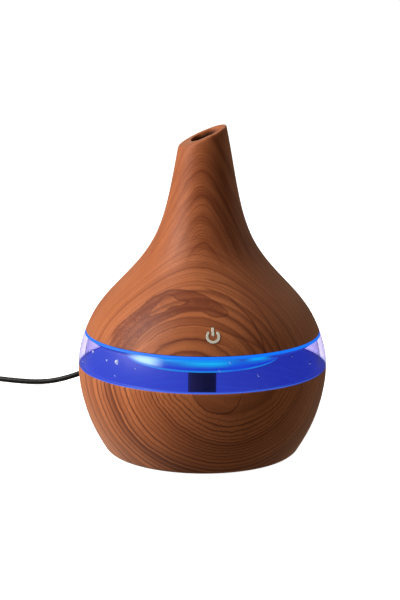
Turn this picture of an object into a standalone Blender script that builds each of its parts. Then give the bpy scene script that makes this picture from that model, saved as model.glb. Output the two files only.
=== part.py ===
"""Cool mist humidifier: a drop-shaped head with a wick-fed atomiser, standing on a round water tank.

All lengths below are in millimetres, and the helpers scale them to metres. +Z is up, the power symbol
faces -Y, the spout rises towards +X, and the origin is on the axis at the bottom. The head lifts straight
up off the tank.
"""
import math

import bmesh
import bpy
import numpy as np
from mathutils import Matrix, Vector

MM = 0.001
GAP = 0.3
EDGES = 36
RING_EDGES = 24
SMALL_EDGES = 20
HOLE_EDGES = 16
SCREW_EDGES = 12

# Heights and radii that the outer surface passes through, from the foot to above the spout.
OUTLINE = (
    (0.0, 40.6), (6.0, 44.2), (13.0, 47.7), (21.0, 50.5), (29.0, 52.3), (37.9, 53.0), (45.0, 52.2),
    (52.4, 49.9), (60.0, 46.3), (68.0, 40.4), (76.0, 32.9), (84.0, 26.0), (92.0, 20.9), (100.0, 17.6),
    (110.0, 14.9), (120.0, 12.9), (131.0, 10.9), (142.0, 8.7),
)

# Tank: base, lower shell, liner and window.
FOOT_HEIGHT = 0.6
BASE_OPENING = 37.0
BASE_THICKNESS = 2.0
BASE_TOP = FOOT_HEIGHT + BASE_THICKNESS
BASE_SCREW_CIRCLE = 20.0
ANTI_SLIP_RADII = (26.0, 34.0)
ANTI_SLIP_TOP = 1.4
SHELL_WALL = 2.2
SHELL_TOP = 37.6
LINER_INSET = SHELL_WALL + GAP
LINER_WALL = 1.3
LINER_TOP = 36.0
LINER_FLOOR = 8.5
FLOOR_THICKNESS = 1.5
FLOOR_RADIUS = 38.0
LINER_BOSS_RADIUS = 3.2
WINDOW_BOTTOM = SHELL_TOP + GAP
WINDOW_TOP = 50.85
WINDOW_WALL = 2.4
WINDOW_GASKET_RADII = (49.3, 50.4)

# Head shell and spout.
HEAD_BOTTOM = 52.4
HEAD_WALL = 2.4
NECK_CEILING = 116.0
OUTLINE_TOP = 142.0
MOUTH_HEIGHT = 135.8
MOUTH_SLOPE = math.radians(24.4)
MOUTH_LEAN = math.radians(2.5)
BORE_X = (-5.5, 6.8)
BORE_HALF_WIDTH = 6.3
BORE_CORNER = 5.0
PAN_SCREW_CIRCLE = 41.5
PAN_SCREW_ANGLES = (10.0, 130.0, 250.0)
HEAD_BOSS_RADIUS = 3.0
HEAD_BOSS_TOP = 61.0

# Lamp pan, with a flange that shows as a bright line between the head and the window.
FLANGE = (51.15, 52.1)
PAN_RADIUS = 34.2
PAN_FLOOR = 41.0
PAN_WALL = 1.4
PAN_RIB = (45.4, 46.4)
PAN_RIB_BOTTOM = 49.3
PAN_HOLE_RADIUS = 9.6
HEAD_SEAL_RADII = (46.7, 47.5)
HEAD_SEAL_HEIGHT = 1.3

# Control board above the pan's floor, with its lamps on the underside.
BOARD_BOTTOM = 46.8
BOARD_TOP = 48.2
BOARD_RADII = (10.0, 30.5)
BOARD_SCREW_CIRCLE = 20.0
LED_CIRCLE = 27.0
LED_COUNT = 6
LED_SIZE = (2.8, 3.5, 1.6)

# Column, atomiser, wick tube and wick, all on the axis.
COLUMN_BORE = 7.2
COLUMN_WALL = 1.4
COLUMN_FOOT = PAN_FLOOR + PAN_WALL + GAP + 1.0 + GAP
CUP_FLOOR = 106.0
CUP_BORE = 9.5
CUP_RADIUS = 11.2
CUP_TOP = 114.0
DISC_HEIGHT = 108.2
DISC_RADIUS = 8.0
TUBE_RADIUS = 6.1
TUBE_BORE = 4.6
TUBE_BOTTOM = 12.0
TUBE_TOP = 104.0
COLLAR_RADIUS = 10.8
WICK_RADIUS = 4.0
WICK_BOTTOM = 20.4
SPRING_RADIUS = 3.3
SPRING_RANGE = (13.7, 19.7)

# Power symbol, let into the head's front.
SYMBOL_HEIGHT = 59.9
SYMBOL_RADIUS = 2.38
SYMBOL_STROKE = 1.1
SYMBOL_GAP = math.radians(38.0)
SYMBOL_BAR = (0.1, 3.8)
SYMBOL_THICKNESS = 0.4
SYMBOL_PROUD = 0.12
POCKET_SPARE = 0.25

# Supply jack in the head's back, the plug in it, and the lead.
JACK_HEIGHT = 57.2
JACK_FRONT = 43.0
JACK_SIZE = (6.5, 9.5, 6.5)
PLUG_START = 50.2
RELIEF_START = 66.3
RELIEF_END = 81.0
LEAD_RADIUS = 1.3
WIRE_RADIUS = 0.5
COIL_CENTRE = (-115.0, 142.3)
COIL_COLUMNS = 5
COIL_ROWS = 2
COIL_INNER = 9.8
COIL_OUTER = COIL_INNER + 2 * LEAD_RADIUS * (COIL_COLUMNS - 1)
COIL_HEIGHT = 2 * LEAD_RADIUS * COIL_ROWS
USB_X = -144.5
USB_START = 141.0
USB_RELIEF = 9.0
USB_BODY = (15.6, 21.0, 7.6)
USB_SHELL = (12.0, 17.0, 4.5)
USB_WALL = 0.4

# The lead's free run, from the plug down to the table and along it to the coil.
LEAD_ROUTE = (
    (0.0, 81.3, 57.2), (0.0, 88.0, 57.0), (-1.5, 95.0, 54.0), (-5.0, 101.0, 47.5), (-11.0, 104.0, 38.0),
    (-20.0, 105.0, 27.5), (-31.0, 103.5, 17.5), (-42.0, 102.5, 11.0), (-53.0, 103.1, 6.3),
    (-62.8, 106.0, 3.0), (-71.5, 109.0, 1.6), (-80.4, 112.2, 1.35), (-89.0, 116.2, 1.35),
    (-98.0, 120.2, 1.35), (-103.5, 121.9, 1.35),
)
TAIL_ROUTE = (
    (-127.4, 122.5, 3.6), (-134.2, 123.8, 2.5), (-140.0, 127.5, 1.6), (-143.5, 133.6, 1.35),
    (-144.5, 140.7, 1.6),
)


# Outline.

def spline_slopes(points):
    """Second derivatives of the natural cubic spline through the points."""
    z = np.array([p[0] for p in points])
    r = np.array([p[1] for p in points])
    step = np.diff(z)
    count = len(z)
    matrix = np.eye(count)
    right = np.zeros(count)
    for i in range(1, count - 1):
        matrix[i, i - 1:i + 2] = (step[i - 1], 2 * (step[i - 1] + step[i]), step[i])
        right[i] = 6 * ((r[i + 1] - r[i]) / step[i] - (r[i] - r[i - 1]) / step[i - 1])
    return z, r, np.linalg.solve(matrix, right)


OUTLINE_SPLINE = spline_slopes(OUTLINE)


def outer_radius(height):
    """Radius of the outer surface at a height."""
    z, r, bend = OUTLINE_SPLINE
    i = int(np.clip(np.searchsorted(z, height) - 1, 0, len(z) - 2))
    step = z[i + 1] - z[i]
    a = (z[i + 1] - height) / step
    b = 1 - a
    curve = ((a ** 3 - a) * bend[i] + (b ** 3 - b) * bend[i + 1]) * step ** 2 / 6
    return float(a * r[i] + b * r[i + 1] + curve)


def surface(top, bottom, inset, count):
    """Profile points (radius, height) that follow the outer surface between two heights, inset from it."""
    heights = np.linspace(top, bottom, count)
    return [(outer_radius(h) - inset, float(h)) for h in heights]


# Helpers.

def clear_scene():
    for obj in list(bpy.data.objects):
        bpy.data.objects.remove(obj, do_unlink=True)


def collection(name):
    made = bpy.data.collections.new(name)
    bpy.context.scene.collection.children.link(made)
    return made


def material(name, color, roughness=0.5, metallic=0.0, transmission=0.0, emission=None):
    made = bpy.data.materials.new(name)
    made.use_nodes = True
    shader = made.node_tree.nodes["Principled BSDF"]
    shader.inputs["Base Color"].default_value = (*color, 1.0)
    shader.inputs["Roughness"].default_value = roughness
    shader.inputs["Metallic"].default_value = metallic
    shader.inputs["Transmission Weight"].default_value = transmission
    if emission:
        shader.inputs["Emission Color"].default_value = (*emission, 1.0)
        shader.inputs["Emission Strength"].default_value = 1.0
    made.diffuse_color = (*color, 1.0)
    return made


def add(name, data, finish, place=None):
    """Links a new object made from a mesh or a curve into the model's collection."""
    obj = bpy.data.objects.new(name, data)
    place = place or MODEL
    place.objects.link(obj)
    if finish:
        data.materials.append(finish)
    return obj


def as_cutter(obj):
    """Marks an object as a cutting or joining tool that isn't part of the model."""
    obj.hide_render = True
    obj.display_type = "WIRE"
    return obj


def turned(name, profile, finish, edges=EDGES, place=None):
    """A turned solid. Its profile is (radius, height), down the outer side, closed on itself or on the axis."""
    mesh = bpy.data.meshes.new(name)
    points = [(r * MM, 0.0, z * MM) for r, z in profile]
    links = [(i, i + 1) for i in range(len(points) - 1)]
    if profile[0][0] > 0 or profile[-1][0] > 0:
        links.append((len(points) - 1, 0))
    mesh.from_pydata(points, links, [])
    obj = add(name, mesh, finish, place)
    screw = obj.modifiers.new("turn", "SCREW")
    screw.angle = math.tau
    screw.steps = edges
    screw.render_steps = edges
    screw.use_merge_vertices = True
    screw.merge_threshold = 0.00001
    screw.use_smooth_shade = True
    return obj


def tube_profile(outer, inner, top, bottom):
    return [(outer, top), (outer, bottom), (inner, bottom), (inner, top)]


def disc_profile(radius, top, bottom):
    return [(0.0, top), (radius, top), (radius, bottom), (0.0, bottom)]


def placed(obj, x=0.0, y=0.0, z=0.0, turn=None):
    """Moves an object, with an optional rotation matrix."""
    rotation = turn.to_4x4() if turn else Matrix.Identity(4)
    obj.matrix_world = Matrix.Translation(Vector((x, y, z)) * MM) @ rotation
    return obj


def box(name, size, centre, finish=None, rounding=0.0, place=None, rounding_steps=1):
    """A box with optional rounded edges."""
    mesh = bpy.data.meshes.new(name)
    form = bmesh.new()
    bmesh.ops.create_cube(form, size=1.0)
    bmesh.ops.scale(form, vec=Vector(size) * MM, verts=form.verts)
    form.to_mesh(mesh)
    form.free()
    obj = add(name, mesh, finish, place)
    obj.location = Vector(centre) * MM
    if rounding:
        bevel = obj.modifiers.new("rounding", "BEVEL")
        bevel.width = rounding * MM
        bevel.segments = rounding_steps
        bevel.limit_method = "ANGLE"
    return obj


def rod(name, radius, start, end, finish=None, edges=SMALL_EDGES, place=None):
    """A straight cylinder between two points."""
    axis = (Vector(end) - Vector(start)) * MM
    mesh = bpy.data.meshes.new(name)
    form = bmesh.new()
    bmesh.ops.create_cone(form, cap_ends=True, segments=edges, radius1=radius * MM, radius2=radius * MM,
                          depth=axis.length)
    form.to_mesh(mesh)
    form.free()
    obj = add(name, mesh, finish, place)
    middle = (Vector(start) + Vector(end)) * MM / 2
    obj.matrix_world = Matrix.Translation(middle) @ axis.to_track_quat("Z", "Y").to_matrix().to_4x4()
    return obj


def hole(name, radius, x, y, low, high):
    """A cutter for an upright round hole."""
    return rod(name, radius, (x, y, low), (x, y, high), edges=HOLE_EDGES, place=TOOLS)


def plate(name, outline, thickness, finish=None, place=None):
    """A flat plate: a closed outline in the XY plane, thickened both ways."""
    curve = bpy.data.curves.new(name, "CURVE")
    curve.dimensions = "2D"
    curve.fill_mode = "BOTH"
    curve.extrude = thickness * MM / 2
    spline = curve.splines.new("POLY")
    spline.points.add(len(outline) - 1)
    for point, (x, y) in zip(spline.points, outline):
        point.co = (x * MM, y * MM, 0.0, 1.0)
    spline.use_cyclic_u = True
    return add(name, curve, finish, place)


def wire(name, points, radius, finish):
    """A round wire or cord through points, with filled caps."""
    curve = bpy.data.curves.new(name, "CURVE")
    curve.dimensions = "3D"
    curve.bevel_depth = radius * MM
    curve.bevel_resolution = 2
    curve.use_fill_caps = True
    spline = curve.splines.new("POLY")
    spline.points.add(len(points) - 1)
    for point, co in zip(spline.points, points):
        point.co = (*(Vector(co) * MM), 1.0)
    return add(name, curve, finish)


def smooth_path(route, spacing):
    """Points about evenly spaced along a smooth curve through the route's points."""
    knots = [Vector(p) for p in route]
    knots = [2 * knots[0] - knots[1]] + knots + [2 * knots[-1] - knots[-2]]
    fine = []
    for a, b, c, d in zip(knots, knots[1:], knots[2:], knots[3:]):
        for k in range(16):
            t = k / 16
            fine.append(0.5 * (2 * b + (c - a) * t + (2 * a - 5 * b + 4 * c - d) * t ** 2
                               + (3 * b - a - 3 * c + d) * t ** 3))
    fine.append(knots[-2])
    run = np.concatenate([[0.0], np.cumsum([(q - p).length for p, q in zip(fine, fine[1:])])])
    count = max(2, round(run[-1] / spacing) + 1)
    where = np.linspace(0.0, run[-1], count)
    return [tuple(np.interp(where[i], run, [p[k] for p in fine]) for k in range(3)) for i in range(count)]


def to_mesh(obj):
    """Turns a curve object into a welded mesh object of the same name, so that a Boolean can use it."""
    graph = bpy.context.evaluated_depsgraph_get()
    mesh = bpy.data.meshes.new_from_object(obj.evaluated_get(graph))
    form = bmesh.new()
    form.from_mesh(mesh)
    bmesh.ops.remove_doubles(form, verts=form.verts, dist=0.000001)
    form.to_mesh(mesh)
    form.free()
    name = obj.name
    home = obj.users_collection[0]
    matrix = obj.matrix_world.copy()
    bpy.data.objects.remove(obj, do_unlink=True)
    made = bpy.data.objects.new(name, mesh)
    made.matrix_world = matrix
    home.objects.link(made)
    return made


def boolean(obj, tool, operation):
    change = obj.modifiers.new(tool.name, "BOOLEAN")
    change.operation = operation
    change.solver = "EXACT"
    change.object = as_cutter(tool)
    return obj


def cut(obj, tool):
    return boolean(obj, tool, "DIFFERENCE")


def join(obj, tool):
    return boolean(obj, tool, "UNION")


def round_the_axis(radius, degrees):
    """X and Y of a point at a radius and an angle about the vertical axis."""
    angle = math.radians(degrees)
    return radius * math.cos(angle), radius * math.sin(angle)


def rounded_rectangle(x_range, y_range, corner, steps=5):
    """Outline of a rectangle with round corners, counter-clockwise."""
    points = []
    centres = ((x_range[1] - corner, y_range[1] - corner), (x_range[0] + corner, y_range[1] - corner),
               (x_range[0] + corner, y_range[0] + corner), (x_range[1] - corner, y_range[0] + corner))
    for quarter, (cx, cy) in enumerate(centres):
        for k in range(steps + 1):
            angle = (quarter + k / steps) * math.pi / 2
            points.append((cx + corner * math.cos(angle), cy + corner * math.sin(angle)))
    return points


# Tank.

def thirds(radius, first=90.0):
    """X and Y of three points at equal angles on a circle about the axis."""
    return [round_the_axis(radius, first + 120.0 * k) for k in range(3)]


def make_lower_shell():
    """Wood-look outer bowl with an inward lip round the base plate."""
    profile = surface(SHELL_TOP, FOOT_HEIGHT, 0.0, 9)
    profile += [(BASE_OPENING, FOOT_HEIGHT), (BASE_OPENING, BASE_TOP)]
    profile += surface(BASE_TOP, SHELL_TOP, SHELL_WALL, 7)
    turned("lower_shell", profile, WOOD_LOOK)


def make_tank_liner():
    """White inner bowl that holds the water, with screw bosses under its floor."""
    under = LINER_FLOOR - FLOOR_THICKNESS
    curve_start = 13.0
    wall_foot = 9.5
    fillet = 1.4
    profile = surface(LINER_TOP, curve_start, LINER_INSET, 5)
    profile += [(outer_radius(wall_foot) - LINER_INSET - fillet, wall_foot)]
    profile += [(FLOOR_RADIUS, under), (0.0, under)]
    profile += [(0.0, LINER_FLOOR), (FLOOR_RADIUS, LINER_FLOOR)]
    profile += [(outer_radius(wall_foot + 1.0) - LINER_INSET - fillet - 1.0, wall_foot + 0.9)]
    profile += surface(curve_start + 0.5, LINER_TOP, LINER_INSET + LINER_WALL, 5)
    liner = turned("tank_liner", profile, WHITE_PLASTIC)
    low = BASE_TOP + GAP
    for k, (x, y) in enumerate(thirds(BASE_SCREW_CIRCLE)):
        boss = rod(f"liner_boss_{k + 1}", LINER_BOSS_RADIUS, (x, y, low), (x, y, under + 0.8), place=TOOLS)
        join(liner, boss)
        cut(liner, hole(f"liner_pilot_{k + 1}", 1.5, x, y, low - 1.0, under - 0.1))


def make_window():
    """Clear ring round the top of the tank, on a silicone gasket."""
    profile = surface(WINDOW_TOP, WINDOW_BOTTOM, 0.0, 4)
    profile += surface(WINDOW_BOTTOM, WINDOW_TOP, WINDOW_WALL, 4)
    turned("window_ring", profile, CLEAR_PLASTIC)
    inner, outer = WINDOW_GASKET_RADII
    turned("window_gasket", tube_profile(outer, inner, WINDOW_BOTTOM - GAP, LINER_TOP + GAP), SILICONE)


def make_base():
    """Base plate with three screws, and a ring of anti-slip rubber in its groove."""
    inner, outer = ANTI_SLIP_RADII
    edge = BASE_OPENING - GAP
    groove = ANTI_SLIP_TOP + GAP
    profile = [(0.0, BASE_TOP), (edge, BASE_TOP), (edge, FOOT_HEIGHT), (outer + GAP, FOOT_HEIGHT),
               (outer + GAP, groove), (inner - GAP, groove), (inner - GAP, FOOT_HEIGHT), (0.0, FOOT_HEIGHT)]
    base = turned("base_plate", profile, BROWN_PLASTIC)
    turned("anti_slip_ring", tube_profile(outer, inner, ANTI_SLIP_TOP, 0.0), RUBBER)
    seat = FOOT_HEIGHT + 0.8
    for k, (x, y) in enumerate(thirds(BASE_SCREW_CIRCLE)):
        cut(base, hole(f"base_hole_{k + 1}", 1.6, x, y, -1.0, BASE_TOP + 1.0))
        cut(base, hole(f"base_sink_{k + 1}", 2.9, x, y, -1.0, seat + GAP))
        make_screw(f"base_screw_{k + 1}", x, y, seat, head_radius=2.5, shank_radius=1.2, reach=5.4)


def make_screw(name, x, y, seat, head_radius, shank_radius, reach, up=True):
    """A pan-head screw with a cross recess. Its shank runs up or down from the head's seat."""
    head = 1.3 if reach > 6.0 else 0.8
    crown = 0.8 * head_radius
    tip = reach - 1.0
    profile = [(0.0, reach), (shank_radius, tip), (shank_radius, 0.0), (head_radius, 0.0), (crown, -head),
               (0.0, -head)]
    screw = turned(name, profile, STEEL, SCREW_EDGES)
    recess = (2.2, 0.5, 0.9 * head)
    for quarter in range(2):
        slot = box(f"{name}_recess_{quarter + 1}", recess, (0.0, 0.0, -head), place=TOOLS)
        slot.rotation_euler.z = quarter * math.pi / 2
        slot.parent = screw
        cut(screw, slot)
    placed(screw, x, y, seat, Matrix.Identity(3) if up else Matrix.Rotation(math.pi, 3, "X"))


# Head shell.

def mouth_cutter():
    """A block whose underside is the spout's slanted face, which also leans a little to the front."""
    depth = 40.0
    block = box("mouth_block", (60.0, 60.0, depth), (0.0, 0.0, 0.0), place=TOOLS)
    tilt = Matrix.Rotation(-MOUTH_SLOPE, 3, "Y") @ Matrix.Rotation(MOUTH_LEAN, 3, "X")
    lift = tilt @ Vector((0.0, 0.0, depth / 2))
    return placed(block, lift.x, lift.y, MOUTH_HEIGHT + lift.z, tilt)


def bore_cutter():
    """The spout's passage, a rounded rectangle that is a little nearer the high side."""
    outline = rounded_rectangle(BORE_X, (-BORE_HALF_WIDTH, BORE_HALF_WIDTH), BORE_CORNER)
    start = NECK_CEILING - 2.0
    height = OUTLINE_TOP + 6.0 - start
    passage = plate("spout_passage", outline, height, place=TOOLS)
    passage.location.z = (start + height / 2) * MM
    return to_mesh(passage)


def symbol_frame():
    """Placement of the symbol on the sloping front: its own Z points outwards and its own Y upwards."""
    rise = 1.0
    slope = (outer_radius(SYMBOL_HEIGHT + rise) - outer_radius(SYMBOL_HEIGHT - rise)) / (2 * rise)
    outward = Vector((0.0, -1.0, -slope)).normalized()
    right = Vector((1.0, 0.0, 0.0))
    up = outward.cross(right)
    turn = Matrix((right, up, outward)).transposed()
    return Vector((0.0, -outer_radius(SYMBOL_HEIGHT), SYMBOL_HEIGHT)), turn, outward


def symbol_outlines(spare):
    """Outlines of the symbol's open ring and its bar, grown by spare on every side."""
    half = SYMBOL_STROKE / 2 + spare
    opening = SYMBOL_GAP - spare / SYMBOL_RADIUS
    steps = 28
    angles = [math.pi / 2 + opening + (math.tau - 2 * opening) * k / steps for k in range(steps + 1)]
    outer = [((SYMBOL_RADIUS + half) * math.cos(a), (SYMBOL_RADIUS + half) * math.sin(a)) for a in angles]
    inner = [((SYMBOL_RADIUS - half) * math.cos(a), (SYMBOL_RADIUS - half) * math.sin(a)) for a in angles]
    low, high = SYMBOL_BAR[0] - spare, SYMBOL_BAR[1] + spare
    bar = [(-half, low), (half, low), (half, high), (-half, high)]
    return {"ring": outer + inner[::-1], "bar": bar}


def make_symbol(shell):
    """Power symbol in pockets of its own shape, standing just proud of the surface."""
    centre, turn, outward = symbol_frame()
    pocket_depth = 1.4
    sunk = centre - outward * POCKET_SPARE
    for part, outline in symbol_outlines(POCKET_SPARE).items():
        pocket = plate(f"{part}_pocket", outline, pocket_depth, place=TOOLS)
        placed(pocket, *sunk, turn)
        cut(shell, to_mesh(pocket))
    inlay = centre - outward * (SYMBOL_THICKNESS / 2 - SYMBOL_PROUD)
    for part, outline in symbol_outlines(0.0).items():
        placed(plate(f"power_symbol_{part}", outline, SYMBOL_THICKNESS, SYMBOL_WHITE), *inlay, turn)


def make_upper_shell():
    """Wood-look drop with the slanted spout, hollow from below up to the neck's ceiling."""
    corner = 1.5
    outer = [(0.0, OUTLINE_TOP)] + surface(OUTLINE_TOP, HEAD_BOTTOM, 0.0, 18)
    inner = surface(HEAD_BOTTOM, NECK_CEILING - corner, HEAD_WALL, 11)
    ceiling = [(outer_radius(NECK_CEILING) - HEAD_WALL - corner, NECK_CEILING), (0.0, NECK_CEILING)]
    shell = turned("upper_shell", outer + inner + ceiling, WOOD_LOOK)
    cut(shell, mouth_cutter())
    cut(shell, bore_cutter())
    for k, degrees in enumerate(PAN_SCREW_ANGLES):
        x, y = round_the_axis(PAN_SCREW_CIRCLE, degrees)
        ends = (x, y, HEAD_BOTTOM), (x, y, HEAD_BOSS_TOP)
        join(shell, rod(f"head_boss_{k + 1}", HEAD_BOSS_RADIUS, *ends, place=TOOLS))
        cut(shell, hole(f"head_pilot_{k + 1}", 1.5, x, y, HEAD_BOTTOM - 2.0, HEAD_BOSS_TOP - 1.4))
    reach = outer_radius(JACK_HEIGHT)
    cut(shell, rod("jack_window", 3.2, (0, reach - 8, JACK_HEIGHT), (0, reach + 4, JACK_HEIGHT), place=TOOLS))
    make_symbol(shell)


# Head inside.

def make_lamp_pan():
    """Translucent pan that closes the head, with screws up into the shell and posts for the board."""
    low, high = FLANGE
    rib_in, rib_out = PAN_RIB
    inside = PAN_FLOOR + PAN_WALL
    profile = [(outer_radius(high), high), (outer_radius(low), low),
               (rib_out, low), (rib_out, PAN_RIB_BOTTOM), (rib_in, PAN_RIB_BOTTOM), (rib_in, low),
               (PAN_RADIUS, low), (PAN_RADIUS - 0.9, 43.2), (PAN_RADIUS - 1.6, PAN_FLOOR + 0.6),
               (PAN_RADIUS - 3.2, PAN_FLOOR), (PAN_HOLE_RADIUS, PAN_FLOOR), (PAN_HOLE_RADIUS, inside),
               (PAN_RADIUS - 3.6, inside), (PAN_RADIUS - 2.4, 43.6), (PAN_RADIUS - 1.5, high)]
    pan = turned("lamp_pan", profile, LAMP_PLASTIC)
    for k, degrees in enumerate(PAN_SCREW_ANGLES):
        x, y = round_the_axis(PAN_SCREW_CIRCLE, degrees)
        cut(pan, hole(f"pan_hole_{k + 1}", 1.6, x, y, low - 2.0, high + 2.0))
        make_screw(f"pan_screw_{k + 1}", x, y, low - GAP, head_radius=2.4, shank_radius=1.2, reach=8.0)
    post_top = BOARD_BOTTOM - GAP
    for k, (x, y) in enumerate(thirds(BOARD_SCREW_CIRCLE)):
        join(pan, rod(f"pan_post_{k + 1}", 2.6, (x, y, PAN_FLOOR + 0.7), (x, y, post_top), place=TOOLS))
        cut(pan, hole(f"pan_pilot_{k + 1}", 1.2, x, y, inside + 0.6, post_top + 1.0))
    inner, outer = HEAD_SEAL_RADII
    turned("head_seal", tube_profile(outer, inner, WINDOW_TOP, WINDOW_TOP - HEAD_SEAL_HEIGHT), SILICONE)


def make_board():
    """Ring-shaped control board with its parts: lamps below, driver parts above."""
    inner, outer = BOARD_RADII
    board = turned("control_board", tube_profile(outer, inner, BOARD_TOP, BOARD_BOTTOM), BOARD_GREEN)
    top = BOARD_TOP + GAP
    for k, (x, y) in enumerate(thirds(BOARD_SCREW_CIRCLE)):
        cut(board, hole(f"board_hole_{k + 1}", 1.3, x, y, BOARD_BOTTOM - 2.0, BOARD_TOP + 2.0))
        make_screw(f"board_screw_{k + 1}", x, y, top, head_radius=1.9, shank_radius=0.9, reach=4.6, up=False)
    for k in range(LED_COUNT):
        degrees = -90.0 + 360.0 / LED_COUNT * k
        x, y = round_the_axis(LED_CIRCLE, degrees)
        lamp = box(f"led_{k + 1}", LED_SIZE, (x, y, BOARD_BOTTOM - GAP - LED_SIZE[2] / 2), LED_WHITE, 0.2)
        lamp.rotation_euler.z = math.radians(degrees)
    chip = (8.6, 3.9, 1.5)
    box("control_chip", chip, (-16.0, -14.0, top + chip[2] / 2), BLACK_PLASTIC, 0.2)
    flange, waist = 4.5, 3.2
    inductor = [(0.0, top + 7.0), (flange, top + 7.0), (flange, top + 5.8), (waist, top + 5.6),
                (waist, top + 1.4), (flange, top + 1.2), (flange, top), (0.0, top)]
    placed(turned("driver_inductor", inductor, FERRITE, SMALL_EDGES), 20.0, 5.0)
    can, shoulder = 2.5, 2.2
    capacitor = [(0.0, top + 8.0), (shoulder, top + 8.0), (can, top + 7.7), (can, top + 1.3),
                 (shoulder, top + 1.0), (can, top + 0.7), (can, top), (0.0, top)]
    placed(turned("filter_capacitor", capacitor, DARK_SLEEVE, SMALL_EDGES), -24.0, 8.0)


def make_column():
    """Upright tube that keeps the board dry and carries the atomiser's cup under the spout."""
    outer = COLUMN_BORE + COLUMN_WALL
    foot_radius = 9.4
    foot_top = COLUMN_FOOT + 1.5
    profile = [(CUP_RADIUS, CUP_TOP), (CUP_RADIUS, CUP_FLOOR - 1.5), (outer, CUP_FLOOR - 5.0),
               (outer, foot_top), (foot_radius, foot_top), (foot_radius, COLUMN_FOOT),
               (COLUMN_BORE, COLUMN_FOOT), (COLUMN_BORE, CUP_FLOOR), (CUP_BORE, CUP_FLOOR),
               (CUP_BORE, CUP_TOP)]
    turned("inner_column", profile, WHITE_PLASTIC, RING_EDGES)
    gasket_top = COLUMN_FOOT - GAP
    gasket = tube_profile(9.3, COLUMN_BORE, gasket_top, gasket_top - 1.0)
    turned("column_gasket", gasket, SILICONE, RING_EDGES)
    seal = tube_profile(9.8, 8.9, NECK_CEILING - GAP, CUP_TOP + GAP)
    turned("spout_seal", seal, SILICONE, RING_EDGES)


def make_atomiser():
    """Mesh plate and piezo ring between two silicone gaskets, under a retaining ring."""
    outer = CUP_BORE - GAP
    inner = 7.5
    plate_top = DISC_HEIGHT + 0.3
    gasket_top = 110.4
    lower = tube_profile(outer, inner, DISC_HEIGHT - GAP, CUP_FLOOR + GAP)
    turned("lower_disc_gasket", lower, SILICONE, RING_EDGES)
    dome = [(0.0, plate_top + 0.5), (2.0, plate_top), (DISC_RADIUS, plate_top), (DISC_RADIUS, DISC_HEIGHT),
            (0.0, DISC_HEIGHT)]
    turned("mesh_plate", dome, STEEL, RING_EDGES)
    piezo = tube_profile(7.1, 4.4, plate_top + GAP + 0.6, plate_top + GAP)
    turned("piezo_ring", piezo, CERAMIC, RING_EDGES)
    upper = tube_profile(outer, inner, gasket_top, plate_top + GAP)
    turned("upper_disc_gasket", upper, SILICONE, RING_EDGES)
    retainer = tube_profile(outer, inner - 0.1, CUP_TOP - GAP, gasket_top + GAP)
    turned("disc_retainer", retainer, WHITE_PLASTIC, RING_EDGES)


def make_wick():
    """Dark wick tube that hangs in the tank, with the cotton wick, its spring and its end cap."""
    collar_bottom, collar_top = 38.6, PAN_FLOOR - GAP
    profile = [(TUBE_RADIUS, TUBE_TOP), (TUBE_RADIUS, collar_top), (COLLAR_RADIUS, collar_top),
               (COLLAR_RADIUS, collar_bottom), (TUBE_RADIUS, collar_bottom - 0.4), (TUBE_RADIUS, TUBE_BOTTOM),
               (TUBE_BORE, TUBE_BOTTOM), (TUBE_BORE, TUBE_TOP)]
    tube = turned("wick_tube", profile, DARK_PLASTIC, SMALL_EDGES)
    for k in range(2):
        slot = box(f"water_slot_{k + 1}", (20.0, 2.4, 6.0), (0.0, 0.0, 17.5), place=TOOLS)
        slot.rotation_euler.z = math.radians(90.0 * k)
        cut(tube, slot)
    turned("wick", disc_profile(WICK_RADIUS, DISC_HEIGHT - GAP, WICK_BOTTOM), COTTON, SMALL_EDGES)
    spigot = TUBE_BORE - GAP
    rim = TUBE_BOTTOM - GAP
    spring_low, spring_high = SPRING_RANGE
    spigot_top = spring_low - 0.7
    end = 9.3
    cap = [(0.0, spigot_top), (spigot, spigot_top), (spigot, rim), (TUBE_RADIUS, rim),
           (TUBE_RADIUS, end + 0.5), (TUBE_RADIUS - 0.5, end), (0.0, end)]
    turned("wick_cap", cap, DARK_PLASTIC, SMALL_EDGES)
    turns = 4
    steps = 9 * turns
    helix = []
    for k in range(steps + 1):
        x, y = round_the_axis(SPRING_RADIUS, 360.0 * turns * k / steps)
        helix.append((x, y, spring_low + (spring_high - spring_low) * k / steps))
    wire("wick_spring", helix, 0.35, STEEL)


def make_touch_sensor():
    """Copper pad behind the symbol, and the wire from it to the board."""
    centre, turn, outward = symbol_frame()
    pad_centre = centre - outward * (HEAD_WALL + 0.55)
    placed(turned("touch_pad", disc_profile(4.5, 0.15, -0.15), COPPER, SMALL_EDGES), *pad_centre, turn)
    start = pad_centre - outward * 1.2
    route = (tuple(start), (0.0, start.y + 3.0, start.z - 2.0), (0.0, start.y + 9.0, 53.6),
             (0.0, -25.5, 51.5), (0.0, -24.5, BOARD_TOP + 0.9))
    wire("touch_lead", smooth_path(route, 3.0), WIRE_RADIUS, LEAD_RED)


def make_disc_leads():
    """Two wires from the board up the column to the atomiser."""
    for k, (side, finish) in enumerate(((-1.0, LEAD_RED), (1.0, LEAD_BLACK))):
        route = ((side * 13.5, 9.0, BOARD_TOP + 1.0), (side * 12.5, 8.0, 52.0), (side * 10.4, 2.5, 58.0),
                 (side * 9.8, 1.5, 75.0), (side * 9.8, 1.5, 96.0), (side * 11.3, 1.5, 101.0),
                 (side * 12.2, 1.5, 105.0))
        wire(f"disc_lead_{k + 1}", smooth_path(route, 6.0), WIRE_RADIUS, finish)


# Supply.

def along_y(obj, y):
    """Turns a solid made along +Z so that its own Z runs along +Y from y, at the jack's height."""
    return placed(obj, 0.0, y, JACK_HEIGHT, Matrix.Rotation(-math.pi / 2, 3, "X"))


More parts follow.
